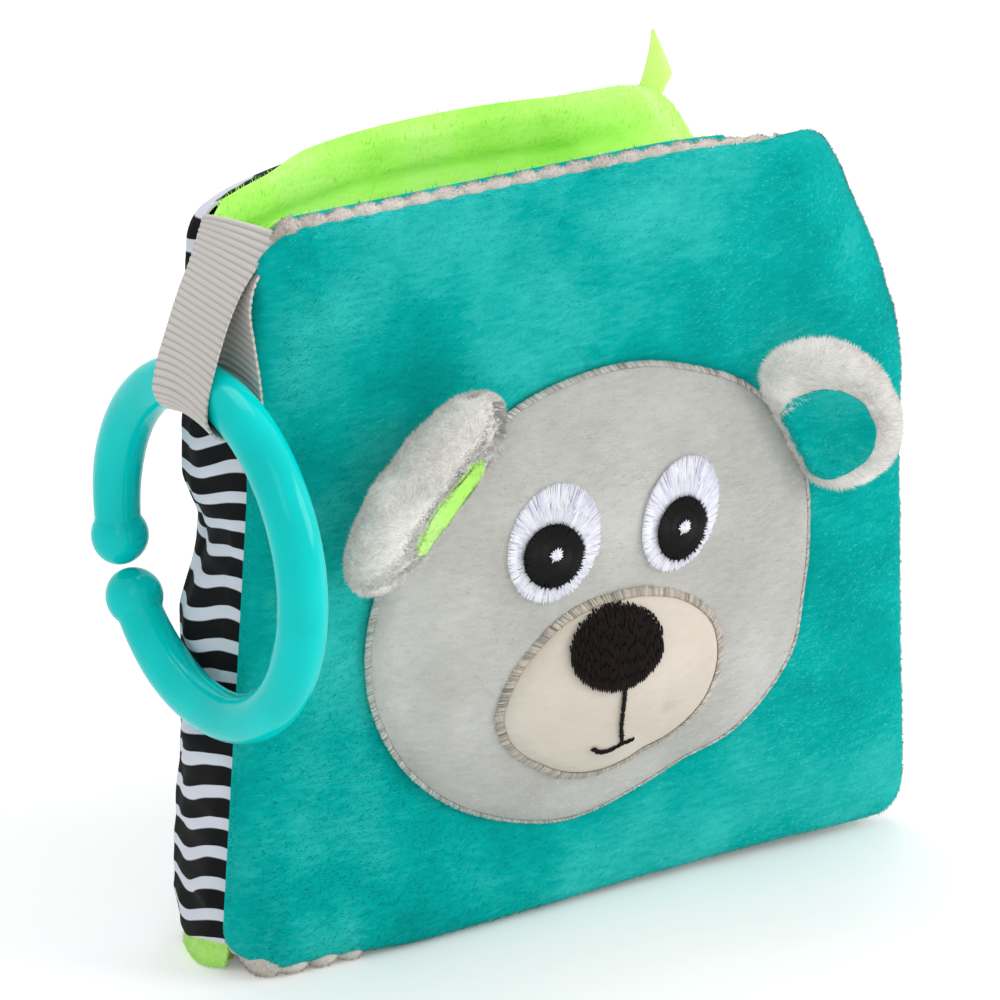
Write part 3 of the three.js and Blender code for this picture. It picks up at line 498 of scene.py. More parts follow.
liningAt = leafFace(ribPlace, 1, 1.9, leaf["drop"] - 0.3, 0, ribSwell, 0.2, 13)
layPadded("front_cover_ribbed_plush", liningAt, "front_cover", ribPlush, (190, 96), 1.0, (0, 1, 0),
          ["front_cover_lining"])
liningPile = {"count": 13000, "long": 1, "wide": 0.4, "nap": 90, "stray": 120, "lean": 45, "patch": 9, "seed": 22}
growPile("front_cover_rib_pile", liningAt, "front_cover", ribPlush, liningPile, -1)
lumpPile = {"perMm": 100, "long": 0.9, "wide": 0.3, "nap": 90, "stray": 130, "lean": 50, "patch": 5, "seed": 29}
for end, row in lumps.items():
    rowAt = lumpRow(row)
    layPadded(f"front_cover_rib_{end}_lumps", rowAt, "front_cover", ribPlush, (row["columns"], 18), 0.5,
              (0, 0, row["way"]))
    lumpPile["count"] = int(lumpPile["perMm"] * (row["last"] - row["first"]))
    lumpFluff = growPile(f"front_cover_rib_{end}_pile", rowAt, "front_cover", ribPlush, lumpPile, row["way"])
print("front cover made")

# Middle page
pageFrontAt = leafFace(pagePlace, -1, 1.4, 0, 1.5, seed=15)
pageBackAt = leafFace(pagePlace, 1, 1.5, leaf["drop"], 1.5, seed=17)
layPadded("middle_page_front_plush", pageFrontAt, "middle_page", tealPlush, (80, 84), 1.2, (0, -1, 0),
          ["middle_page_front_cloth"])
layPadded("middle_page_back_plush", pageBackAt, "middle_page", limePlush, (80, 84), 1.2, (0, 1, 0),
          ["middle_page_back_cloth"])
pagePile = {"count": 17000, "long": 1.4, "wide": 0.34, "nap": 90, "stray": 22, "lean": 22, "patch": 30, "seed": 23}
growPile("middle_page_front_pile", pageFrontAt, "middle_page", tealPlush, pagePile, 1)
pagePile.update({"long": 1.6, "seed": 24})
growPile("middle_page_back_pile", pageBackAt, "middle_page", limePlush, pagePile, -1)
print("middle page made")

# Back cover
backCover = {"crown": 3, "short": 1, "channelBelow": 9, "channelDeep": 1.5, "channelHalf": 2.2, "seamShift": 1.2}


def channelDip(across, up, rim):
    low = leaf["height"] - backCover["short"] - backCover["channelBelow"]
    dip = backCover["channelDeep"] * (1 - smooth((across - 100) / 25))
    return -dip * np.exp(-(((up - low) / backCover["channelHalf"]) ** 2)) * rim


# Past the spine the plush rolls over the jersey along the upper seam
def backPlushPlace(across, up, out):
    over = smooth((across - 22) / 16) * smooth((up - leaf["height"] + 5) / 4)
    return backPlace(across, up + 1.1 * over, out + 1.2 * over * smooth((up - leaf["height"] + 2.6) / 1.6))


backLiningAt = leafFace(backPlushPlace, -1, backCover["crown"] - 0.3, leaf["drop"], backCover["short"], channelDip,
                        0.4, 19, backCover["seamShift"])
layPadded("back_cover_plush", backLiningAt, "back_cover", limePlush, (100, 100), 1.2, (0, -1, 0),
          ["back_cover_lining"])
backPile = {"count": 30000, "long": 1.6, "wide": 0.29, "nap": 75, "stray": 22, "lean": 20, "patch": 28, "seed": 25}
growPile("back_cover_pile", backLiningAt, "back_cover", limePlush, backPile, 1)


spine = {"front": 2.8, "back": 17.3, "cloth": 1.2, "pad": 3, "top": 145.5, "stripes": 6.1, "stripeStart": 0.1}


# Cotton jersey, knitted and printed: soft matt stripes that wander with the cloth, fine knit rows
def jerseyLook():
    look, surface = startLook("striped_cotton_jersey", Roughness=0.85, Specular_IOR_Level=0.2)
    place = objectPlace(look)
    split = addNode(look, "ShaderNodeSeparateXYZ", {"Vector": place})
    slow, quick = noise(look, place, 38.0, 0.0), noise(look, place, 110.0, 1.0)
    # 6.1 mm from stripe to stripe, dropping 3 mm from the front seam to the back of the spine
    seam = (spine["front"] + bookShift[1]) / 1000
    drop = addNode(look, "ShaderNodeMapRange", {"Value": split.outputs[1], "From Min": seam, "From Max": seam + 0.014,
                                                "To Min": spine["stripeStart"], "To Max": spine["stripeStart"] + 0.6},
                   interpolation_type="SMOOTHSTEP")
    rise = calc(look, "MULTIPLY_ADD", split.outputs[2], 1000 / spine["stripes"], drop.outputs[0])
    bend = calc(look, "MULTIPLY_ADD", quick, 0.18, calc(look, "ADD", slow, rise))
    stripes = colourSteps(look, calc(look, "FRACT", bend), [(0.0, "D9DDE9"), (1.0, "D9DDE9"), (0.02, "0A0A0C"),
                                                            (0.6, "0C0C0F"), (0.64, "DDE1EC")])
    # knit rows 0.45 mm apart
    knit = addNode(look, "ShaderNodeTexWave", {"Vector": place, "Scale": 700.0, "Distortion": 1.0},
                   bands_direction="Z")
    return finishLook(look, surface, stripes, knit.outputs["Fac"], 0.15, 0.0001)


# One jersey runs from the front cover's seam round the spine and over the back cover.
# run is the distance from the front seam: the spine, a bridge over its seam, then the leaf.
wrap = {"spine": 14.5, "bridge": 4, "hem": 2.9, "corner": 8}


def spinePlace(depth, z, out):
    return np.stack([spineOuter(depth, z - leaf["drop"]) - out, depth, z], 1)


def jerseyFace(inset=0, hem=None, length=None):
    top = leaf["height"] - backCover["short"]
    def at(u, v):
        farCut = np.maximum(cornerCut(top * v, leaf["corner"]), cornerCut(top - top * v, leaf["tip"]))
        whole = wrap["spine"] + wrap["bridge"] + leaf["width"] - farCut
        run = u * (length if length else whole)
        across = np.maximum(run - wrap["spine"] - wrap["bridge"], 0)
        floor = wrap["hem"] * (1 - smooth(run / 16))
        ceiling = np.where(across > 0, top - cornerCut(across, wrap["corner"]), spine["top"] - leaf["drop"])
        ceiling = np.where(across > 0, ceiling, ceiling + (top - wrap["corner"] - ceiling) * np.clip(
            (run - wrap["spine"]) / wrap["bridge"], 0, 1))
        up = floor + (ceiling - floor) * v
        edge = np.minimum(np.minimum(up - floor, ceiling - up), whole - run)
        if hem:
            low = hem[0] + 0.7 * (1 - smooth(run / 6))
            up = low + (floor + hem[1] - low) * v
            edge = 1.2 + v * 9
        rim = np.sqrt(1 - (1 - np.clip(edge / 3, 0, 1)) ** 2)
        padding = roll(across) * roll(leaf["width"] - across) * roll(up) * roll(top - up)
        folds = 0.7 * swell(run * 1.3, up, 17, 41) + 0.35 * swell(run * 0.6, up, 7, 43)
        shift = -0.9 * (1 - smooth((across - 10) / 45)) * (1 - rim) * smooth((up - 60) / 60)
        fill = leaf["seam"] * rim + backCover["crown"] * padding + 0.6 * rim * swell(across, up, 38, 27) + shift
        low = np.clip(1 - up / 9, 0, 1) ** 2
        leafSide = backPlace(across, up, fill + (0.4 * folds * rim - 2.2 * low) * (1 - smooth(across / 20)) - inset)
        tuck = 1 - smooth(run / 2.5)
        belly = 1.1 * np.sin(math.pi * np.clip(run / 15, 0, 1))
        tucked = inset * (1 + 4 * v) + low * (0.6 * smooth((run - 8) / 7) - belly)
        spineSide = spinePlace(spine["front"] - 0.9 * tuck + np.minimum(run, wrap["spine"]), up + leaf["drop"],
                               0.3 + folds * rim * smooth(run / 3) - 0.9 * (1 - rim) - 0.8 * tuck - tucked)
        part = smooth((run - wrap["spine"]) / wrap["bridge"])[:, None]
        return spineSide * (1 - part) + leafSide * part
    return at


def blendOverHinge(piece):
    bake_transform(piece)


jersey = layPadded("spine_and_back_jersey", jerseyFace(), None, jerseyLook(), (170, 150), 0.8, (-1, 1, 0),
                   ["spine_cloth", "back_cover_cloth"])
blendOverHinge(jersey)
print("back cover made")


def spineLiningAt(u, v):
    offset = 2 * spine["cloth"] + spine["pad"] + 0.6
    first = spine["front"] + 0.55 * offset
    depth = first + (spine["back"] - first) * u
    z = spine["top"] * v
    return np.stack([spineOuter(depth, z - leaf["drop"]) + offset, depth, z], 1)


layPadded("spine_lining_plush", spineLiningAt, "spine", limePlush, (16, 120), 1.0, (1, 0, 0),
          ["spine_lining"])
spinePile = {"count": 5000, "long": 1.4, "wide": 0.4, "nap": 270, "stray": 30, "lean": 22, "patch": 20, "seed": 26}
growPile("spine_lining_pile", spineLiningAt, "spine", limePlush, spinePile, 1)

# The lining's hem shows below the jersey at the spine
hemAt = jerseyFace(0.3, (-2.1, 3.5), 15.2)
hem = layPadded("spine_hem_plush", hemAt, None, limePlush, (60, 12), 1.0, (-1, 0, 0))
blendOverHinge(hem)
hemPile = {"count": 6000, "long": 1, "wide": 0.26, "nap": 80, "stray": 40, "lean": 24, "patch": 8, "seed": 28}
hemFluff = growPile("spine_hem_pile", hemAt, None, limePlush, hemPile, -1)
blendOverHinge(hemFluff)
print("spine made")

# Head and muzzle: round patches laid over the cover, from their outlines in shares of half their size
headShares = [
    (0.97, -0.22), (1, 0.1), (0.995, 0.3), (0.87, 0.62), (0.7, 0.81), (0.45, 0.93), (0.2, 1), (-0.07, 0.985),
    (-0.35, 0.9), (-0.55, 0.75), (-0.75, 0.52), (-0.94, 0.25), (-1, 0), (-0.99, -0.25), (-0.87, -0.55),
    (-0.68, -0.77), (-0.4, -0.93), (-0.1, -1), (0.18, -0.93), (0.42, -0.83), (0.65, -0.77), (0.82, -0.62),
    (0.94, -0.45)]
muzzle = {"x": 74, "z": 47.3, "wide": 49.6, "tall": 37, "edge": 1.5, "rise": 3.6}
muzzleShares = [
    (0.98, 0.02), (0.92, 0.45), (0.7, 0.76), (0.35, 0.96), (0, 1), (-0.35, 0.93), (-0.7, 0.63), (-0.93, 0.2),
    (-1, -0.15), (-0.9, -0.48), (-0.62, -0.78), (-0.3, -0.98), (0, -1), (0.32, -0.85), (0.65, -0.72),
    (0.9, -0.38)]
muzzleDips = [(78.5, 36, 0.5, 1.2), (80, 37, 0.5, 1.2), (81.5, 38.3, 0.6, 1.2), (84, 40.5, 1.2, 1.4)]


def outlineOf(shares, wide, tall):
    angles = np.array([math.atan2(v * tall, u * wide) for u, v in shares])
    reach = np.array([math.hypot(v * tall, u * wide) / 2 for u, v in shares])
    order = np.argsort(angles)
    fine = np.linspace(-math.pi, math.pi, 721)[:-1]
    values = np.interp(fine, angles[order], reach[order], period=2 * math.pi)
    span = np.hanning(37) / np.hanning(37).sum()
    values = np.convolve(np.concatenate([values[-18:], values, values[:18]]), span, "valid")
    return lambda turn: np.interp(turn, fine, values, period=2 * math.pi)


headReach = outlineOf(headShares, head["wide"], head["tall"])
muzzleReach = outlineOf(muzzleShares, muzzle["wide"], muzzle["tall"])


def headHeight(x, z):
    turn = np.arctan2(z - head["z"], x - head["x"])
    far = np.hypot(x - head["x"], z - head["z"]) / headReach(turn)
    rim = np.sqrt(1 - (1 - np.clip((1 - far) * 45 / 4, 0, 1)) ** 2)
    return 0.3 + head["edge"] * rim + head["rise"] * (1 - np.minimum(far, 1) ** 2.4) * 0.97


def muzzleHeight(x, z):
    turn = np.arctan2(z - muzzle["z"], x - muzzle["x"])
    far = np.hypot(x - muzzle["x"], z - muzzle["z"]) / muzzleReach(turn)
    rim = np.sqrt(1 - (1 - np.clip((1 - far) * 20 / 2.5, 0, 1)) ** 2)
    # the mouth's thread draws a fold into the cloth, up to a dimple
    dip = 0
    for dipX, dipZ, deep, half in muzzleDips:
        dip = dip + deep * np.exp(-(((x - dipX) ** 2 + (z - dipZ) ** 2) / half ** 2))
    return headHeight(x, z) + muzzle["edge"] * rim + muzzle["rise"] * (1 - np.minimum(far, 1) ** 2) - dip


def facePlace(x, z, out):
    return np.stack([x, -face - out, z + leaf["drop"]], 1)


def roundPatch(centre, reach, height, crease=0, seed=1):
    def at(u, v):
        turn, share = (u - 0.5) * 2 * math.pi, np.sqrt(np.clip(v, 0, 1))
        x = centre["x"] + np.cos(turn) * reach(turn) * share
        z = centre["z"] + np.sin(turn) * reach(turn) * share
        return facePlace(x, z, height(x, z) + crease * swell(x, z, 22, seed) * (1 - share ** 4))
    return at


headAt = roundPatch(head, headReach, headHeight, 0.35, 51)
layPadded("head_plush", headAt, "front_cover", greyPlush, (120, 46), 1.0, (0, -1, 0),
          ["head_cloth"], closed=True)
# the listed spot paints light into the tone: lighter low on the head, against its shade
headPile = {"count": 38000, "long": 1.1, "wide": 0.22, "nap": 0, "stray": 30, "lean": 20, "patch": 20, "seed": 52,
            "lead": (1, 0, 0), "paintedShadeAndLight": [(66, 22, 26, 0.2)]}


def outsideMuzzle(spots):
    turn = np.arctan2(spots[:, 2] - leaf["drop"] - muzzle["z"], spots[:, 0] - muzzle["x"])
    return np.hypot(spots[:, 0] - muzzle["x"], spots[:, 2] - leaf["drop"] - muzzle["z"]) > muzzleReach(turn) - 1


growPile("head_pile", headAt, "front_cover", greyPlush, headPile, -1, outsideMuzzle)
muzzleAt = roundPatch(muzzle, muzzleReach, muzzleHeight, 0.15, 53)
layPadded("muzzle_plush", muzzleAt, "front_cover", creamPlush, (90, 30), 1.0, (0, -1, 0),
          ["muzzle_cloth"], closed=True)
muzzlePile = {"count": 9000, "long": 0.7, "wide": 0.2, "nap": 0, "stray": 50, "lean": 20, "patch": 20, "seed": 54,
              "lead": (1, 0, 0)}
growPile("muzzle_pile", muzzleAt, "front_cover", creamPlush, muzzlePile, -1)
print("head and muzzle made")


# Rayon thread, twisted and satin stitched: shiny along each stitch
def threadLook(name, dark, light, shine=0.35, gleam=0.6):
    look, surface = startLook(name, Roughness=shine, Specular_IOR_Level=gleam)
    tone = addNode(look, "ShaderNodeAttribute", attribute_name="tone").outputs["Fac"]
    # two threads' twist every 0.35 mm
    twist = noise(look, objectPlace(look), 2800.0, 1.0)
    tint = colourSteps(look, calc(look, "MULTIPLY_ADD", twist, 0.4, tone), [(0.2, dark), (1.0, light)])
    return finishLook(look, surface, tint, twist, 0.3, 0.0001)


silverThread = threadLook("silver_rayon_thread", "A09C98", "F4F1EC", 0.28)
warmThread = threadLook("warm_silver_rayon_thread", "A0968C", "EEE6DB", 0.28)
whiteThread = threadLook("white_rayon_thread", "D2D2E8", "FCFCFF", 0.35)
blackThread = threadLook("black_rayon_thread", "020202", "0B0B0C", 0.55, 0.2)
brownThread = threadLook("brown_rayon_thread", "080303", "180B0A", 0.6, 0.15)


def stitchShape():
    stitch = bmesh.new()
    bmesh.ops.create_uvsphere(stitch, u_segments=5, v_segments=4, radius=0.5)
    bmesh.ops.translate(stitch, verts=stitch.verts, vec=(0, 0, 0.5))
    return stitch


# Stitches between pairs of places, each bowed a little off the cloth
def sew(name, starts, ends, outward, wide, high, body, look, seed=1):
    gen = np.random.default_rng(seed)
    along = ends - starts
    beside = unit(np.cross(along, outward))
    lifted = unit(np.cross(beside, along))
    frames = np.stack([beside * wide, lifted * high, along], 2)
    return scatter(name, stitchShape(), frames, starts, 0.5 + 0.25 * gen.normal(size=len(starts)), body, look)


facing = np.array([0.0, -1.0, 0.0])


# Satin border across an outline, reaching so far inside and outside it
def sewBorder(name, centre, reach, height, inside, outside, pitch, look, node, lift=0.3):
    length = sum(reach(np.linspace(-math.pi, math.pi, 200))) / 200 * 2 * math.pi
    turns = np.linspace(-math.pi, math.pi, int(length / pitch), endpoint=False)
    gen = np.random.default_rng(8)
    turns = turns + gen.normal(size=len(turns)) * 0.002
    inside = inside * (1 + 0.12 * gen.normal(size=len(turns)))
    outside = outside * (1 + 0.12 * gen.normal(size=len(turns)))

    def spot(turn, share, out):
        x = centre["x"] + np.cos(turn) * (reach(turn) + share)
        z = centre["z"] + np.sin(turn) * (reach(turn) + share)
        return facePlace(x, z, height(x, z) + out)
    slant = 0.008
    starts, ends = spot(turns - slant, -inside, lift), spot(turns + slant, outside, 0.15)
    border = sew(name, starts, ends, np.tile(facing, (len(turns), 1)), pitch * 1.7, 0.7, "front_cover", look)
    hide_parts(node)


sewBorder("head_satin_border", head, headReach, headHeight, 0.4, 0.6, 0.19, silverThread, "head_edge_stitching")
sewBorder("muzzle_satin_border", muzzle, muzzleReach, muzzleHeight, 0.3, 1.3, 0.2, warmThread,
          "muzzle_edge_stitching")

# Eyes and nose: an embroidered ground with stitches over it
eyes = {
    "left": {"x": 60.8, "z": 79.9, "long": 24, "wide": 19.2, "tilt": 22, "pupilX": 60.2, "pupilZ": 77.6},
    "right": {"x": 89.2, "z": 80.3, "long": 23.4, "wide": 16.6, "tilt": 24, "pupilX": 89, "pupilZ": 77.6}}
pupilAcross = 13.4
nose = {"x": 72.4, "z": 57, "wide": 20.8, "tall": 17}


def ovalReach(wide, tall, tilt):
    lean = math.radians(tilt)
    def reach(turn):
        own = turn + lean
        return 1 / np.sqrt((np.cos(own) / (wide / 2)) ** 2 + (np.sin(own) / (tall / 2)) ** 2)
    return reach


def layPatch(name, centre, reach, height, lift, look, node):
    at = roundPatch(centre, reach, lambda x, z: height(x, z) + lift)
    patch = layCloth(name, at, "front_cover", look, 60, 10, 0.3, (0, -1, 0), closed=True)
    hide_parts(node)


def sewSpokes(name, centre, height, turns, near, far, lift, wide, look, seed):
    gen = np.random.default_rng(seed)
    def spot(turn, reach):
        x, z = centre["x"] + np.cos(turn) * reach, centre["z"] + np.sin(turn) * reach
        return facePlace(x, z, height(x, z) + lift)
    starts = spot(turns, near)
    ends = spot(turns + 0.02 * gen.normal(size=len(turns)), far)
    return sew(name, starts, ends, np.tile(facing, (len(turns), 1)), wide, 0.45, "front_cover", look, seed)


for side, eye in eyes.items():
    pupil = {"x": eye["pupilX"], "z": eye["pupilZ"]}
    white = ovalReach(eye["wide"], eye["long"], eye["tilt"])
    disc = ovalReach(pupilAcross * (0.86 if side == "right" else 1), pupilAcross * 1.02, 18)
    layPatch(f"{side}_eye_ground", eye, white, headHeight, 0.3, whiteThread, f"{side}_eye_white")
    gen = np.random.default_rng(61)
    turns = np.linspace(-math.pi, math.pi, 300, endpoint=False)
    # from the pupil to the rim of the white, in two rows of satin stitches
    rimX = eye["x"] + np.cos(turns) * white(turns) - pupil["x"]
    rimZ = eye["z"] + np.sin(turns) * white(turns) - pupil["z"]
    angle, rim = np.arctan2(rimZ, rimX), np.hypot(rimX, rimZ)
    split = disc(angle) + (rim - disc(angle)) * (0.45 + 0.1 * gen.normal(size=len(turns)).clip(-1, 1))
    inner = sewSpokes(f"{side}_eye_inner_satin", pupil, headHeight, angle, disc(angle) - 1, split + 0.8, 0.5,
                      0.36, whiteThread, 62)
    outer = sewSpokes(f"{side}_eye_outer_satin", pupil, headHeight, angle, split - 0.5,
                      rim + 0.3 + 0.2 * gen.normal(size=len(turns)).clip(-1, 1), 0.55, 0.36, whiteThread, 63)
    layPatch(f"{side}_pupil_ground", pupil, lambda turn: disc(turn) - 0.4, headHeight, 1.0, blackThread,
             f"{side}_eye_pupil")
    dark = np.linspace(-math.pi, math.pi, 150, endpoint=False)
    ragged = 0.5 * gen.normal(size=len(dark)).clip(-1, 1)
    edge = sewSpokes(f"{side}_pupil_satin", pupil, headHeight, dark, disc(dark) * 0.45, disc(dark) + ragged * 0.7,
                     1.25, 0.42, blackThread, 64)
    core = sewSpokes(f"{side}_pupil_core", pupil, headHeight, dark[::3], disc(dark[::3]) * 0.05,
                     disc(dark[::3]) * 0.6, 1.35, 0.6, blackThread, 65)
    glint = {"x": pupil["x"] + 0.2, "z": pupil["z"] + 0.5}
    star = np.linspace(-math.pi, math.pi, 14, endpoint=False)
    light = sewSpokes(f"{side}_glint_satin", glint, headHeight, star, -1.4 + 0 * star,
                      1.5 + 0.4 * gen.normal(size=14).clip(-1, 1), 1.8, 0.55, whiteThread, 66)
    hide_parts(f"{side}_eye_highlight")

noseReach = ovalReach(nose["wide"], nose["tall"], 0)
layPatch("nose_ground", nose, lambda turn: noseReach(turn) - 0.5, muzzleHeight, 0.35, brownThread,
         "nose_embroidery")
# fill stitches in rows 0.5 mm apart, with a ragged rim
gen = np.random.default_rng(71)
rowsX = np.arange(-nose["wide"] / 2 + 0.3, nose["wide"] / 2, 0.5)
starts, ends = [], []
for x in rowsX:
    half = nose["tall"] / 2 * math.sqrt(max(1 - (2 * x / nose["wide"]) ** 2, 0))
    low = -half - gen.uniform(0, 0.6)
    while low < half:
        top = min(low + gen.uniform(2.4, 3.8), half + gen.uniform(0, 0.7))
        starts.append((nose["x"] + x, nose["z"] + low))
        ends.append((nose["x"] + x + gen.uniform(-0.1, 0.1), nose["z"] + top))
        low = top - 0.1
starts, ends = np.array(starts), np.array(ends)


def onMuzzle(spots, lift):
    return facePlace(spots[:, 0], spots[:, 1], muzzleHeight(spots[:, 0], spots[:, 1]) + lift)


noseFill = sew("nose_satin", onMuzzle(starts, 0.7), onMuzzle(ends, 0.7), np.tile(facing, (len(starts), 1)), 0.62,
               0.5, "front_cover", brownThread)

mouth = {"top": 47.6, "bottom": 35, "thread": 1}


def sewLine(name, path, node):
    path = np.array(path, float)
    reach = np.concatenate([[0], np.cumsum(np.linalg.norm(np.diff(path, axis=0), axis=1))])
    count = int(reach[-1] / 0.42)
    gen = np.random.default_rng(81)
    places = np.linspace(0, reach[-1], count)
    mid = np.stack([np.interp(places, reach, path[:, k]) for k in (0, 1)], 1)
    ahead = np.stack([np.interp(places + 0.1, reach, path[:, k]) - np.interp(places - 0.1, reach, path[:, k])
                      for k in (0, 1)], 1)
    ahead = ahead / np.linalg.norm(ahead, axis=1, keepdims=True)
    across = np.stack([-ahead[:, 1], ahead[:, 0]], 1)
    wide = mouth["thread"] * (0.5 + 0.12 * gen.normal(size=count))[:, None]
    reachOut = across * wide + ahead * 0.3
    line = sew(name, onMuzzle(mid - reachOut, 0.35), onMuzzle(mid + reachOut, 0.35), np.tile(facing, (count, 1)),
               0.55, 0.6, "front_cover", brownThread)
    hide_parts(node)


sewLine("mouth_line_satin", [(73.6, mouth["top"] + 1.5), (73.4, 44), (73.5, 40), (74.6, mouth["bottom"] + 0.4)],
        "mouth_line_stitching")
sewLine("mouth_curve_satin", [(68.1, 35.7), (69.6, 34.6), (71.2, 34.3), (73, 34.7), (74.8, 35.5), (77.4, 35.6)],
        "mouth_curve_stitching")
print("embroidery made")

# Ears
ears = {
    "left": {"x": 36.6, "z": 92.2, "turn": 48, "raise": 41, "base": 34, "across": 45, "tall": 25, "thick": 13.6,
             "seat": 3.2, "dish": 2.6, "full": 3, "rim": 0, "patch": limePlush, "slot": "lime_plush",
             "patchAt": (0.5, 0.42), "patchShare": (0.49, 0.58)},
    "right": {"x": 116, "z": 91.4, "turn": 117, "raise": 30, "base": 26, "across": 34.5, "tall": 21, "thick": 7.2,
              "seat": 3.5, "dish": 1.6, "full": 2, "rim": 1.1, "patch": tealPlush, "slot": "teal_plush",
              "patchAt": (-2.2, 0.37), "patchShare": (0.6, 0.76)}}
# the ears' pile is lit from the open side
earGlow = (0.35, -1.1, 0.9)
earSide = [(0.97, 0.18), (1, 0.42), (0.88, 0.72), (0.5, 0.94), (0, 1)]

for side, ear in ears.items():
    middle = 0.47
    corner = ear["base"] / ear["across"]
    half = [(0, 0), (corner * 0.5, 0), (corner, 0)] + earSide
    shares = half + [(-u, v) for u, v in half[-2:0:-1]]
    outline = outlineOf([(u, (v - middle) * 2) for u, v in shares], ear["across"], ear["tall"])
    turn, lift = math.radians(ear["turn"]), math.radians(ear["raise"])
    along = np.array([math.cos(turn), 0, math.sin(turn)])
    away = np.array([-math.sin(turn), 0, math.cos(turn)]) * (1 if ear["turn"] < 90 else -1)
    out = away * math.cos(lift) + np.array([0, -math.sin(lift), 0])
    front = -away * math.sin(lift) + np.array([0, -math.cos(lift), 0])
    base = np.array([ear["x"], -face - ear["seat"], ear["z"] + leaf["drop"]])

    def earFace(sign, dish=0, shrink=(1, 1), centre=(0, middle), rise=0, seed=1):
        def at(u, v):
            turn, share = (u - 0.5) * 2 * math.pi, np.sqrt(np.clip(v, 0, 1))
            p = np.cos(turn) * outline(turn) * share * shrink[0] + centre[0]
            q = np.sin(turn) * outline(turn) * share * shrink[1] + centre[1] * ear["tall"]
            # how far out the place lies on the whole ear
            whole = np.hypot(p, q - middle * ear["tall"]) / outline(np.arctan2(q - middle * ear["tall"], p))
            whole = np.minimum(whole, 1)
            puff = 0.05 + (ear["thick"] / 2 - 0.1) * np.sqrt(1 - whole ** ear["full"] * 0.9999)
            puff = puff + ear["rim"] * np.exp(-(((whole - 0.8) / 0.14) ** 2))
            puff = puff - dish * np.maximum(1 - (whole / 0.85) ** 2, 0) ** 2 + rise
            puff = puff + 0.3 * swell(p, q, 11, seed) * (1 - whole ** 6)
            return base + along * p[:, None] + out * q[:, None] + front * (sign * puff)[:, None]
        return at

    body = f"{side}_ear"
    backAt, frontAt = earFace(-1, seed=91), earFace(1, ear["dish"], seed=92)
    hand = 1 if ear["turn"] < 90 else -1
    for name, at, way in (("back", backAt, -front), ("front", frontAt, front)):
        layPadded(f"{side}_ear_{name}_plush", at, body, palePlush, (60, 22), 0.5, way,
                  [f"{side}_ear_{name}_cloth"], closed=True)
    area = ear["across"] * ear["tall"] * 0.8
    earPile = {"count": int(area * 18), "long": 1.9, "wide": 0.3, "nap": 180 + 90 * hand, "stray": 35, "lean": 34,
               "patch": 12, "seed": 93, "lead": tuple(along), "tries": 9, "even": 0.998, "glow": earGlow}
    growPile(f"{side}_ear_back_pile", backAt, body, palePlush, earPile, hand)

    def besidePatch(spots):
        p = ((spots - base) @ along - ear["patchAt"][0]) / ear["patchShare"][0]
        q = ((spots - base) @ out - ear["patchAt"][1] * ear["tall"]) / ear["patchShare"][1]
        return np.hypot(p, q) > outline(np.arctan2(q, p)) * 0.97

    earPile["nap"] = 180 - 90 * hand
    growPile(f"{side}_ear_front_pile", frontAt, body, palePlush, earPile, -hand, besidePatch)

    # tufts standing out of the seam hide it
    def seamAt(u, v):
        turn = (u - 0.5) * 2 * math.pi
        p, q = np.cos(turn) * outline(turn) * 0.99, np.sin(turn) * outline(turn) * 0.99 + middle * ear["tall"]
        return base + along * p[:, None] + out * q[:, None] + front * ((v - 0.5) * 2.4)[:, None]

    seamPile = {"count": 4500, "long": 1.7, "wide": 0.26, "nap": 90, "stray": 60, "lean": 62, "patch": 9, "seed": 94,
                "glow": earGlow}
    growPile(f"{side}_ear_seam_pile", seamAt, body, palePlush, seamPile, hand)
    patchAt = earFace(1, ear["dish"], ear["patchShare"], ear["patchAt"], 0.6, 92)
    patch = layCloth(f"{side}_ear_patch_plush", patchAt, body, ear["patch"], 40, 14, 0.4, front, closed=True)
    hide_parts(f"{side}_ear_inner_patch")
    patchPile = {"count": int(area * 7), "long": 1, "wide": 0.22, "nap": 90, "stray": 30, "lean": 22, "patch": 12,
                 "seed": 95, "lead": tuple(along)}
    growPile(f"{side}_ear_patch_pile", patchAt, body, ear["patch"], patchPile, -hand)
print("ears made")

# Ring: a bar swept round, with a ball at each end
ring = {"x": -9, "y": -1.6, "radius": 33.3, "bar": 4.9, "ball": 5.7, "ballOut": 0.7, "gap": -24.8, "ends": 10.4,
        "yaw": 3.9}
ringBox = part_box("teether_ring")
ringZ = (ringBox[0].z + ringBox[1].z) * 500
barZ = ringZ + ring["radius"]


def ringPath(angle, share):
    reach = ring["radius"] + ring["ballOut"] * np.cos(math.pi * share) ** 16
    return reach * np.cos(angle), reach * np.sin(angle)


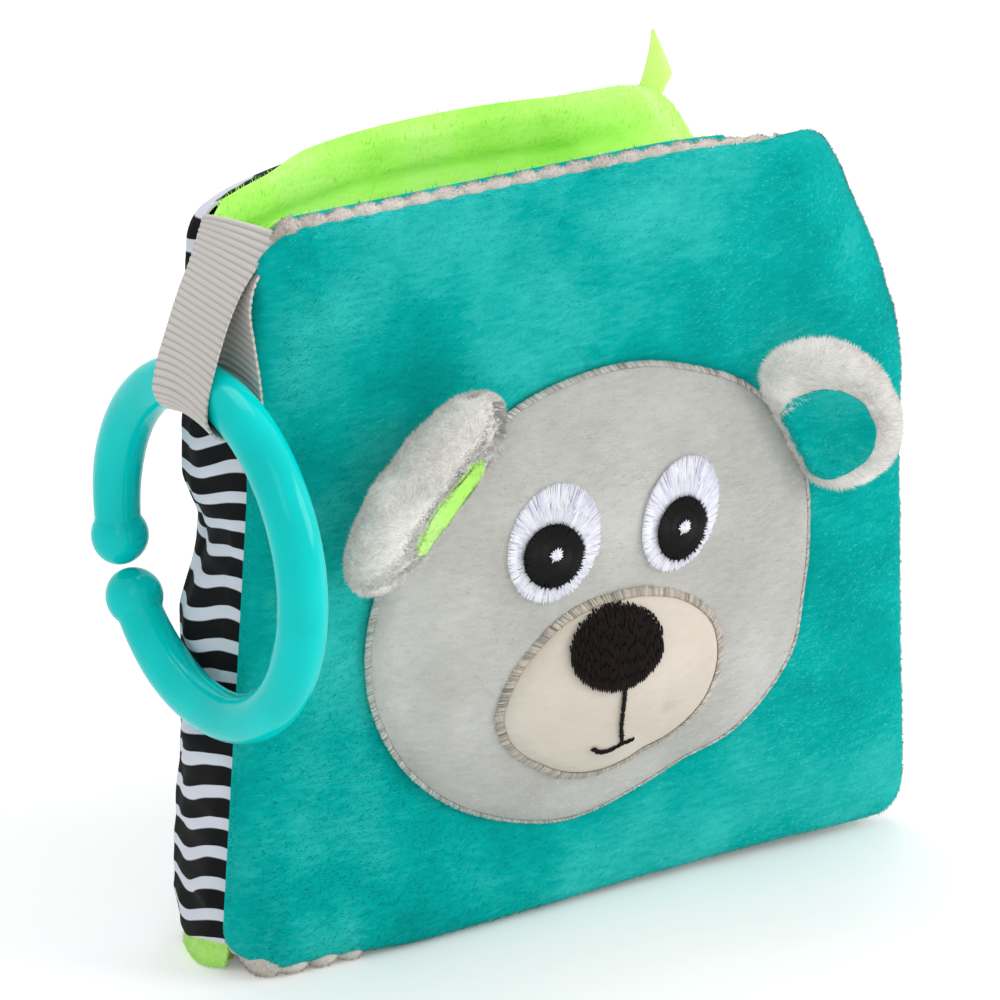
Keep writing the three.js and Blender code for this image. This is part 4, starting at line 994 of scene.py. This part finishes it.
def sweepRing():
    first, sweep = math.radians(ring["gap"] + ring["ends"]), 2 * math.pi - 2 * math.radians(ring["ends"])
    ballTurn = ring["ball"] / ring["radius"]
    ends = ballTurn * (1 - np.cos(np.linspace(0, math.pi / 2, 12)))
    near = np.concatenate([-ballTurn + ends, np.linspace(0.01, ballTurn * 1.15, 14)[1:]])
    middle = np.linspace(near[-1], sweep - near[-1], 130)[1:-1]
    stations = np.concatenate([near, middle, sweep - near[::-1]])
    bar = bmesh.new()
    loops = []
    for station in stations:
        t = min(station, sweep - station) * ring["radius"]
        ball = math.sqrt(max(ring["ball"] ** 2 - t ** 2, 0)) if abs(t) < ring["ball"] else 0
        radius = ball if t < 0 else max(ring["bar"] * (0.93 + 0.07 * min(max((t - 4) / 12, 0), 1)), ball)
        share = min(max(station / sweep, 0), 1)
        y, z = ringPath(first + station, share)
        angle = first + station
        made = bmesh.ops.create_circle(bar, segments=36, radius=max(radius, 0.02))
        for vert in made["verts"]:
            side, out = vert.co.x, vert.co.y
            vert.co = Vector((side, y + out * math.cos(angle), z + out * math.sin(angle)))
        loops.append(made["verts"])
    bar.edges.ensure_lookup_table()
    for one, two in zip(loops, loops[1:]):
        edges = [e for loop in (one, two) for e in {e for v in loop for e in v.link_edges
                                                    if all(w in loop for w in e.verts)}]
        bmesh.ops.bridge_loops(bar, edges=edges)
    for loop in (loops[0], loops[-1]):
        bmesh.ops.contextual_create(bar, geom=loop)
    bmesh.ops.recalc_face_normals(bar, faces=bar.faces)
    yaw = math.radians(ring["yaw"])
    for vert in bar.verts:
        x, y, z = vert.co
        vert.co = Vector((ring["x"] + x * math.cos(yaw) - y * math.sin(yaw) + bookShift[0],
                          ring["y"] + x * math.sin(yaw) + y * math.cos(yaw) + bookShift[1], ringZ + z)) / 1000
    mesh = bpy.data.meshes.new("teether_ring_bar")
    bar.to_mesh(mesh)
    bar.free()
    return mesh


# Polypropylene, injection moulded: smooth gloss, faint unevenness from the mould
def ringLook():
    look, surface = startLook("teal_moulded_polypropylene", Roughness=0.12, IOR=1.49, Specular_IOR_Level=0.14)
    # sink marks about 12 mm across
    sink = noise(look, objectPlace(look), 80.0, 1.0)
    return finishLook(look, surface, colourSteps(look, sink, [(0.3, "00CCC8"), (0.7, "00D6D2")]), sink, 0.25, 0.0004)


ringPiece = addPiece("teether_ring_bar", sweepRing(), "ring", ringLook())
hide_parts("teether_ring")
print("ring made")

# Ribbon loop, woven with ribs across it. Its route: x, y, z and turn of its width
ribbon = {"wide": 19.5, "slack": 0.55, "ribPitch": 1.3, "thick": 0.7}
around = ring["bar"] + ribbon["slack"] + ribbon["thick"] / 2
route = [(8.2, 10.6, 146.8, 24), (7.3, 10.5, 149.4, 24), (5.7, 10.2, 150.8, 24), (4.3, 9.8, 150.1, 17),
         (1.9, 9, 147.9, 9), (-2, 7.2, 143.5, 2), (-5.6, 5.2, 139.1, 1), (-9.2, 2.9, 133.9, 1),
         (-12.8, 0.5, 128.5, 2)]
for turn in (180, 205, 230, 270, 300, 330, 355):
    route.append((ring["x"] + around * math.cos(math.radians(turn)), ring["y"],
                  barZ + around * math.sin(math.radians(turn)), 3))
route += [(-3.1, -0.8, 129, 2), (-2.8, 1.5, 134.5, 1), (-2.2, 4.4, 140, 1.5), (-0.4, 7, 144.4, 6),
          (2.4, 9, 147, 12), (4.6, 9.9, 148.9, 18), (6.4, 10.3, 149, 24), (7.2, 10.5, 146.8, 24)]


# A smooth line through places, as many steps between each two
def smoothLine(knots, steps):
    knots = np.array(knots, float)
    fine = []
    for i in range(len(knots) - 1):
        before, after = knots[max(i - 1, 0)], knots[min(i + 2, len(knots) - 1)]
        for t in np.linspace(0, 1, steps, endpoint=False):
            a, b = knots[i], knots[i + 1]
            fine.append(0.5 * (2 * a + (b - before) * t + (2 * before - 5 * a + 4 * b - after) * t ** 2
                               + (3 * a - before - 3 * b + after) * t ** 3))
    return np.array(fine + [knots[-1]])


ribbonLine = smoothLine(route, 12)
ribbonSteps = np.linalg.norm(np.diff(ribbonLine[:, [0, 2]], axis=0), axis=1)
ribbonRun = np.concatenate([[0], np.cumsum(ribbonSteps)])


def ribbonAt(u, v):
    run = v * ribbonRun[-1]

    def line(where):
        where = np.clip(where, 0, ribbonRun[-1])
        return np.stack([np.interp(where, ribbonRun, ribbonLine[:, k]) for k in range(4)], 1)

    spot = line(run)
    ahead = unit((line(run + 0.9) - line(run - 0.9))[:, [0, 2]])
    rib = 0.15 * np.cos(2 * math.pi * run / ribbon["ribPitch"]) * np.clip((0.5 - np.abs(u - 0.5)) * 30, 0, 1)
    skew = np.radians(spot[:, 3])
    picot = 0.16 * np.sin(2 * math.pi * run / 0.9) * (np.abs(u - 0.5) > 0.47)
    reach = (u - 0.5) * (ribbon["wide"] + picot)
    low = smooth((150 - spot[:, 2]) / 26 * 2 - 1)
    sag = (ring["radius"] - np.sqrt(ring["radius"] ** 2 - reach ** 2)) * low
    # the ribbon bows a little between its edges
    bow = rib + 0.5 * (1 - (2 * u - 1) ** 2) * (1 - low)
    x = spot[:, 0] + ahead[:, 1] * bow - reach * np.sin(skew)
    return np.stack([x, spot[:, 1] + reach * np.cos(skew), spot[:, 2] - ahead[:, 0] * bow - sag], 1)


# Polyester grosgrain, woven: a soft silky shine on round ribs, with painted light and shade along them, a firm edge
def ribbonLook():
    look, surface = startLook("grey_polyester_grosgrain", Roughness=0.55, Sheen_Weight=0.3, Specular_IOR_Level=0.45)
    cloth = addNode(look, "ShaderNodeUVMap", uv_map="cloth")
    # warp threads 0.25 mm apart over the ribbon's 19.5 mm, ribs 1.3 mm apart along it
    weave = addNode(look, "ShaderNodeMapping", {"Vector": cloth.outputs[0], "Scale": (78, 1, 1)})
    warp = addNode(look, "ShaderNodeTexWave", {"Vector": weave.outputs[0], "Scale": 0.314, "Distortion": 0.6,
                                               "Detail": 1.0}, bands_direction="X")
    split = addNode(look, "ShaderNodeSeparateXYZ", {"Vector": cloth.outputs[0]})
    # painted light and shade: the colour turns lighter and darker in step with the ribs, as light and shade on their
    # round backs
    ribTurns = 2 * math.pi * ribbonRun[-1] / ribbon["ribPitch"]
    ribs = calc(look, "COSINE", calc(look, "MULTIPLY", split.outputs[1], ribTurns))
    paintedRibShade = calc(look, "MULTIPLY_ADD", ribs, 0.32, 0.5)
    mixed = calc(look, "MULTIPLY_ADD", warp.outputs["Fac"], 0.15, paintedRibShade)
    tint = colourSteps(look, mixed, [(0.1, "96918C"), (1.0, "D2CDC8"), (0.5, "BCB7B2")])
    return finishLook(look, surface, tint, warp.outputs["Fac"], 0.2, 0.0001)


ribbonPiece = layCloth("hanging_ribbon_grosgrain", ribbonAt, None, ribbonLook(), 26, 480, 0.5, (1, 0, 0))
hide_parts("hanging_ribbon")
start, end = ((np.array(spot) + bookShift) / 1000 for spot in ((5, 10.2, 150), (-2, 7.2, 143)))
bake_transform(ribbonPiece)
print("ribbon made")

# Tag: satin ribbon sewn in double, its end folded to a point
tag = {"across": 133.3, "sway": 7.6, "wide": 7, "shoulder": 7.6, "shoulderUp": 4.2, "tip": 0.8, "tall": 12,
       "lean": 5, "lift": 0.3}
tagSeam = leaf["height"] - backCover["short"] - cornerCut(leaf["width"] - tag["across"], leaf["tip"])
tagFoot = backPlace(np.array([tag["across"]]), np.array([tagSeam]), np.array([0.0]))[0]


def tagAt(u, v):
    turnUp = tag["shoulderUp"] / tag["tall"]
    low = tag["wide"] + (tag["shoulder"] - tag["wide"]) * v / turnUp
    high = tag["shoulder"] + (tag["tip"] - tag["shoulder"]) * (v - turnUp) / (1 - turnUp)
    x = tagFoot[0] + u * np.where(v < turnUp, low, high) + tag["sway"] * v - tag["wide"] / 2
    fold = 0.9 * smooth((u - 0.72) / 0.28) - 0.5 * np.sin(math.pi * u) * (1 - v)
    z = tagFoot[2] - 1 + tag["lift"] + v * (tag["tall"] + 1)
    return np.stack([x, tagFoot[1] + tag["lean"] * v ** 2 + fold, z], 1)


# Polyester satin, woven: smooth, silky and thin enough to glow
def satinLook():
    look, surface = startLook("lime_polyester_satin", Roughness=0.45, Sheen_Weight=0.3, Specular_IOR_Level=0.5,
                              Subsurface_Weight=0.2, Subsurface_Scale=0.002)
    # weft 0.2 mm apart
    weft = addNode(look, "ShaderNodeTexWave", {"Vector": objectPlace(look), "Scale": 800.0, "Distortion": 1.0},
                   bands_direction="Z")
    tint = colourSteps(look, weft.outputs["Fac"], [(0.0, "C2F06A"), (1.0, "D4FC84")])
    return finishLook(look, surface, tint, weft.outputs["Fac"], 0.15, 0.0001)


tagPiece = layCloth("page_tag_satin", tagAt, "tag", satinLook(), 20, 36, 0.6, (0, -1, 0))
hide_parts("page_tag")


# Inside the leaves: polyester wadding, fluffy and matt, and crinkle film, thin and crumpled
def fillLook(name, dark, light, rough, size, deep):
    look, surface = startLook(name, Roughness=rough)
    grain = noise(look, objectPlace(look), size, 4.0)
    return finishLook(look, surface, colourSteps(look, grain, [(0.3, dark), (0.7, light)]), grain, 0.6, deep)


waddingLook = fillLook("polyester_wadding", "E6E3DA", "FBFAF6", 0.95, 250.0, 0.001)
filmLook = fillLook("crumpled_polyester_film", "CBD6DC", "EEF3F6", 0.25, 120.0, 0.0008)
for name, node in nodes.items():
    if not node.hide_render:
        look = filmLook if "film" in name else waddingLook
        node.data.materials.clear()
        node.data.materials.append(look)
print("inside made")

# Floor, light and camera
floorMesh = bpy.data.meshes.new("studio_floor")
floorShape = bmesh.new()
bmesh.ops.create_grid(floorShape, x_segments=1, y_segments=1, size=6)
floorShape.to_mesh(floorMesh)
floorShape.free()
floor = bpy.data.objects.new("studio_floor", floorMesh)
bpy.context.scene.collection.objects.link(floor)
floorLook = bpy.data.materials.new("white_paper_floor")
floorLook.use_nodes = True
paper = floorLook.node_tree.nodes["Principled BSDF"]
paper.inputs["Base Color"].default_value = colour("FFFFFF")
paper.inputs["Roughness"].default_value = 0.9
paper.inputs["Emission Color"].default_value = (1, 1, 1, 1)
floorMesh.materials.append(floorLook)


# How strongly a backdrop shines: least towards the object, most towards the camera, gloss and glass
def seenStrength(look, least, most):
    paths = addNode(look, "ShaderNodeLightPath").outputs
    seen = calc(look, "MAXIMUM", paths["Is Camera Ray"], paths["Is Glossy Ray"])
    seen = calc(look, "MAXIMUM", seen, paths["Is Transmission Ray"])
    return addNode(look, "ShaderNodeMapRange", {"Value": seen, "To Min": least, "To Max": most}).outputs[0]


floorLook.node_tree.links.new(seenStrength(floorLook, 0.0, 0.12), paper.inputs["Emission Strength"])
world = bpy.data.worlds.new("studio")
bpy.context.scene.world = world
world.use_nodes = True
sky = world.node_tree.nodes["Background"]
sky.inputs["Color"].default_value = (1, 1, 1, 1)
world.node_tree.links.new(seenStrength(world, 0.66, 1.0), sky.inputs["Strength"])

lamps = {
    "left": {"place": (-0.75, -0.9, 1.1), "size": (0.5, 0.8), "power": 1.8},
    "right": {"place": (1.2, -0.8, 0.7), "size": (0.8, 0.8), "power": 10},
    "top": {"place": (0.1, 0.5, 1.4), "size": (0.9, 0.6), "power": 5.5}}
for name, lamp in lamps.items():
    light = bpy.data.lights.new(name, "AREA")
    light.shape = "RECTANGLE"
    light.size, light.size_y = lamp["size"]
    light.energy = lamp["power"]
    holder = bpy.data.objects.new(name, light)
    bpy.context.scene.collection.objects.link(holder)
    holder.location = lamp["place"]
    aim = Vector((0, 0, 0.08)) - Vector(lamp["place"])
    holder.rotation_euler = aim.to_track_quat("-Z", "Y").to_euler()

view = {"place": (-944.92, -1769.03, 929.76), "aim": (55.947, 0, 87.858), "lens": 406.85}
camera = bpy.data.cameras.new("photograph_view")
camera.lens = view["lens"]
camera.clip_start, camera.clip_end = 0.05, 20
seat = bpy.data.objects.new("photograph_view", camera)
bpy.context.scene.collection.objects.link(seat)
seat.location = (Vector(view["place"]) + Vector(bookShift)) / 1000
aim = Vector(view["aim"]) - Vector(view["place"])
seat.rotation_euler = aim.to_track_quat("-Z", "Y").to_euler()
bpy.context.scene.camera = seat
bpy.context.scene.view_settings.view_transform = "Standard"
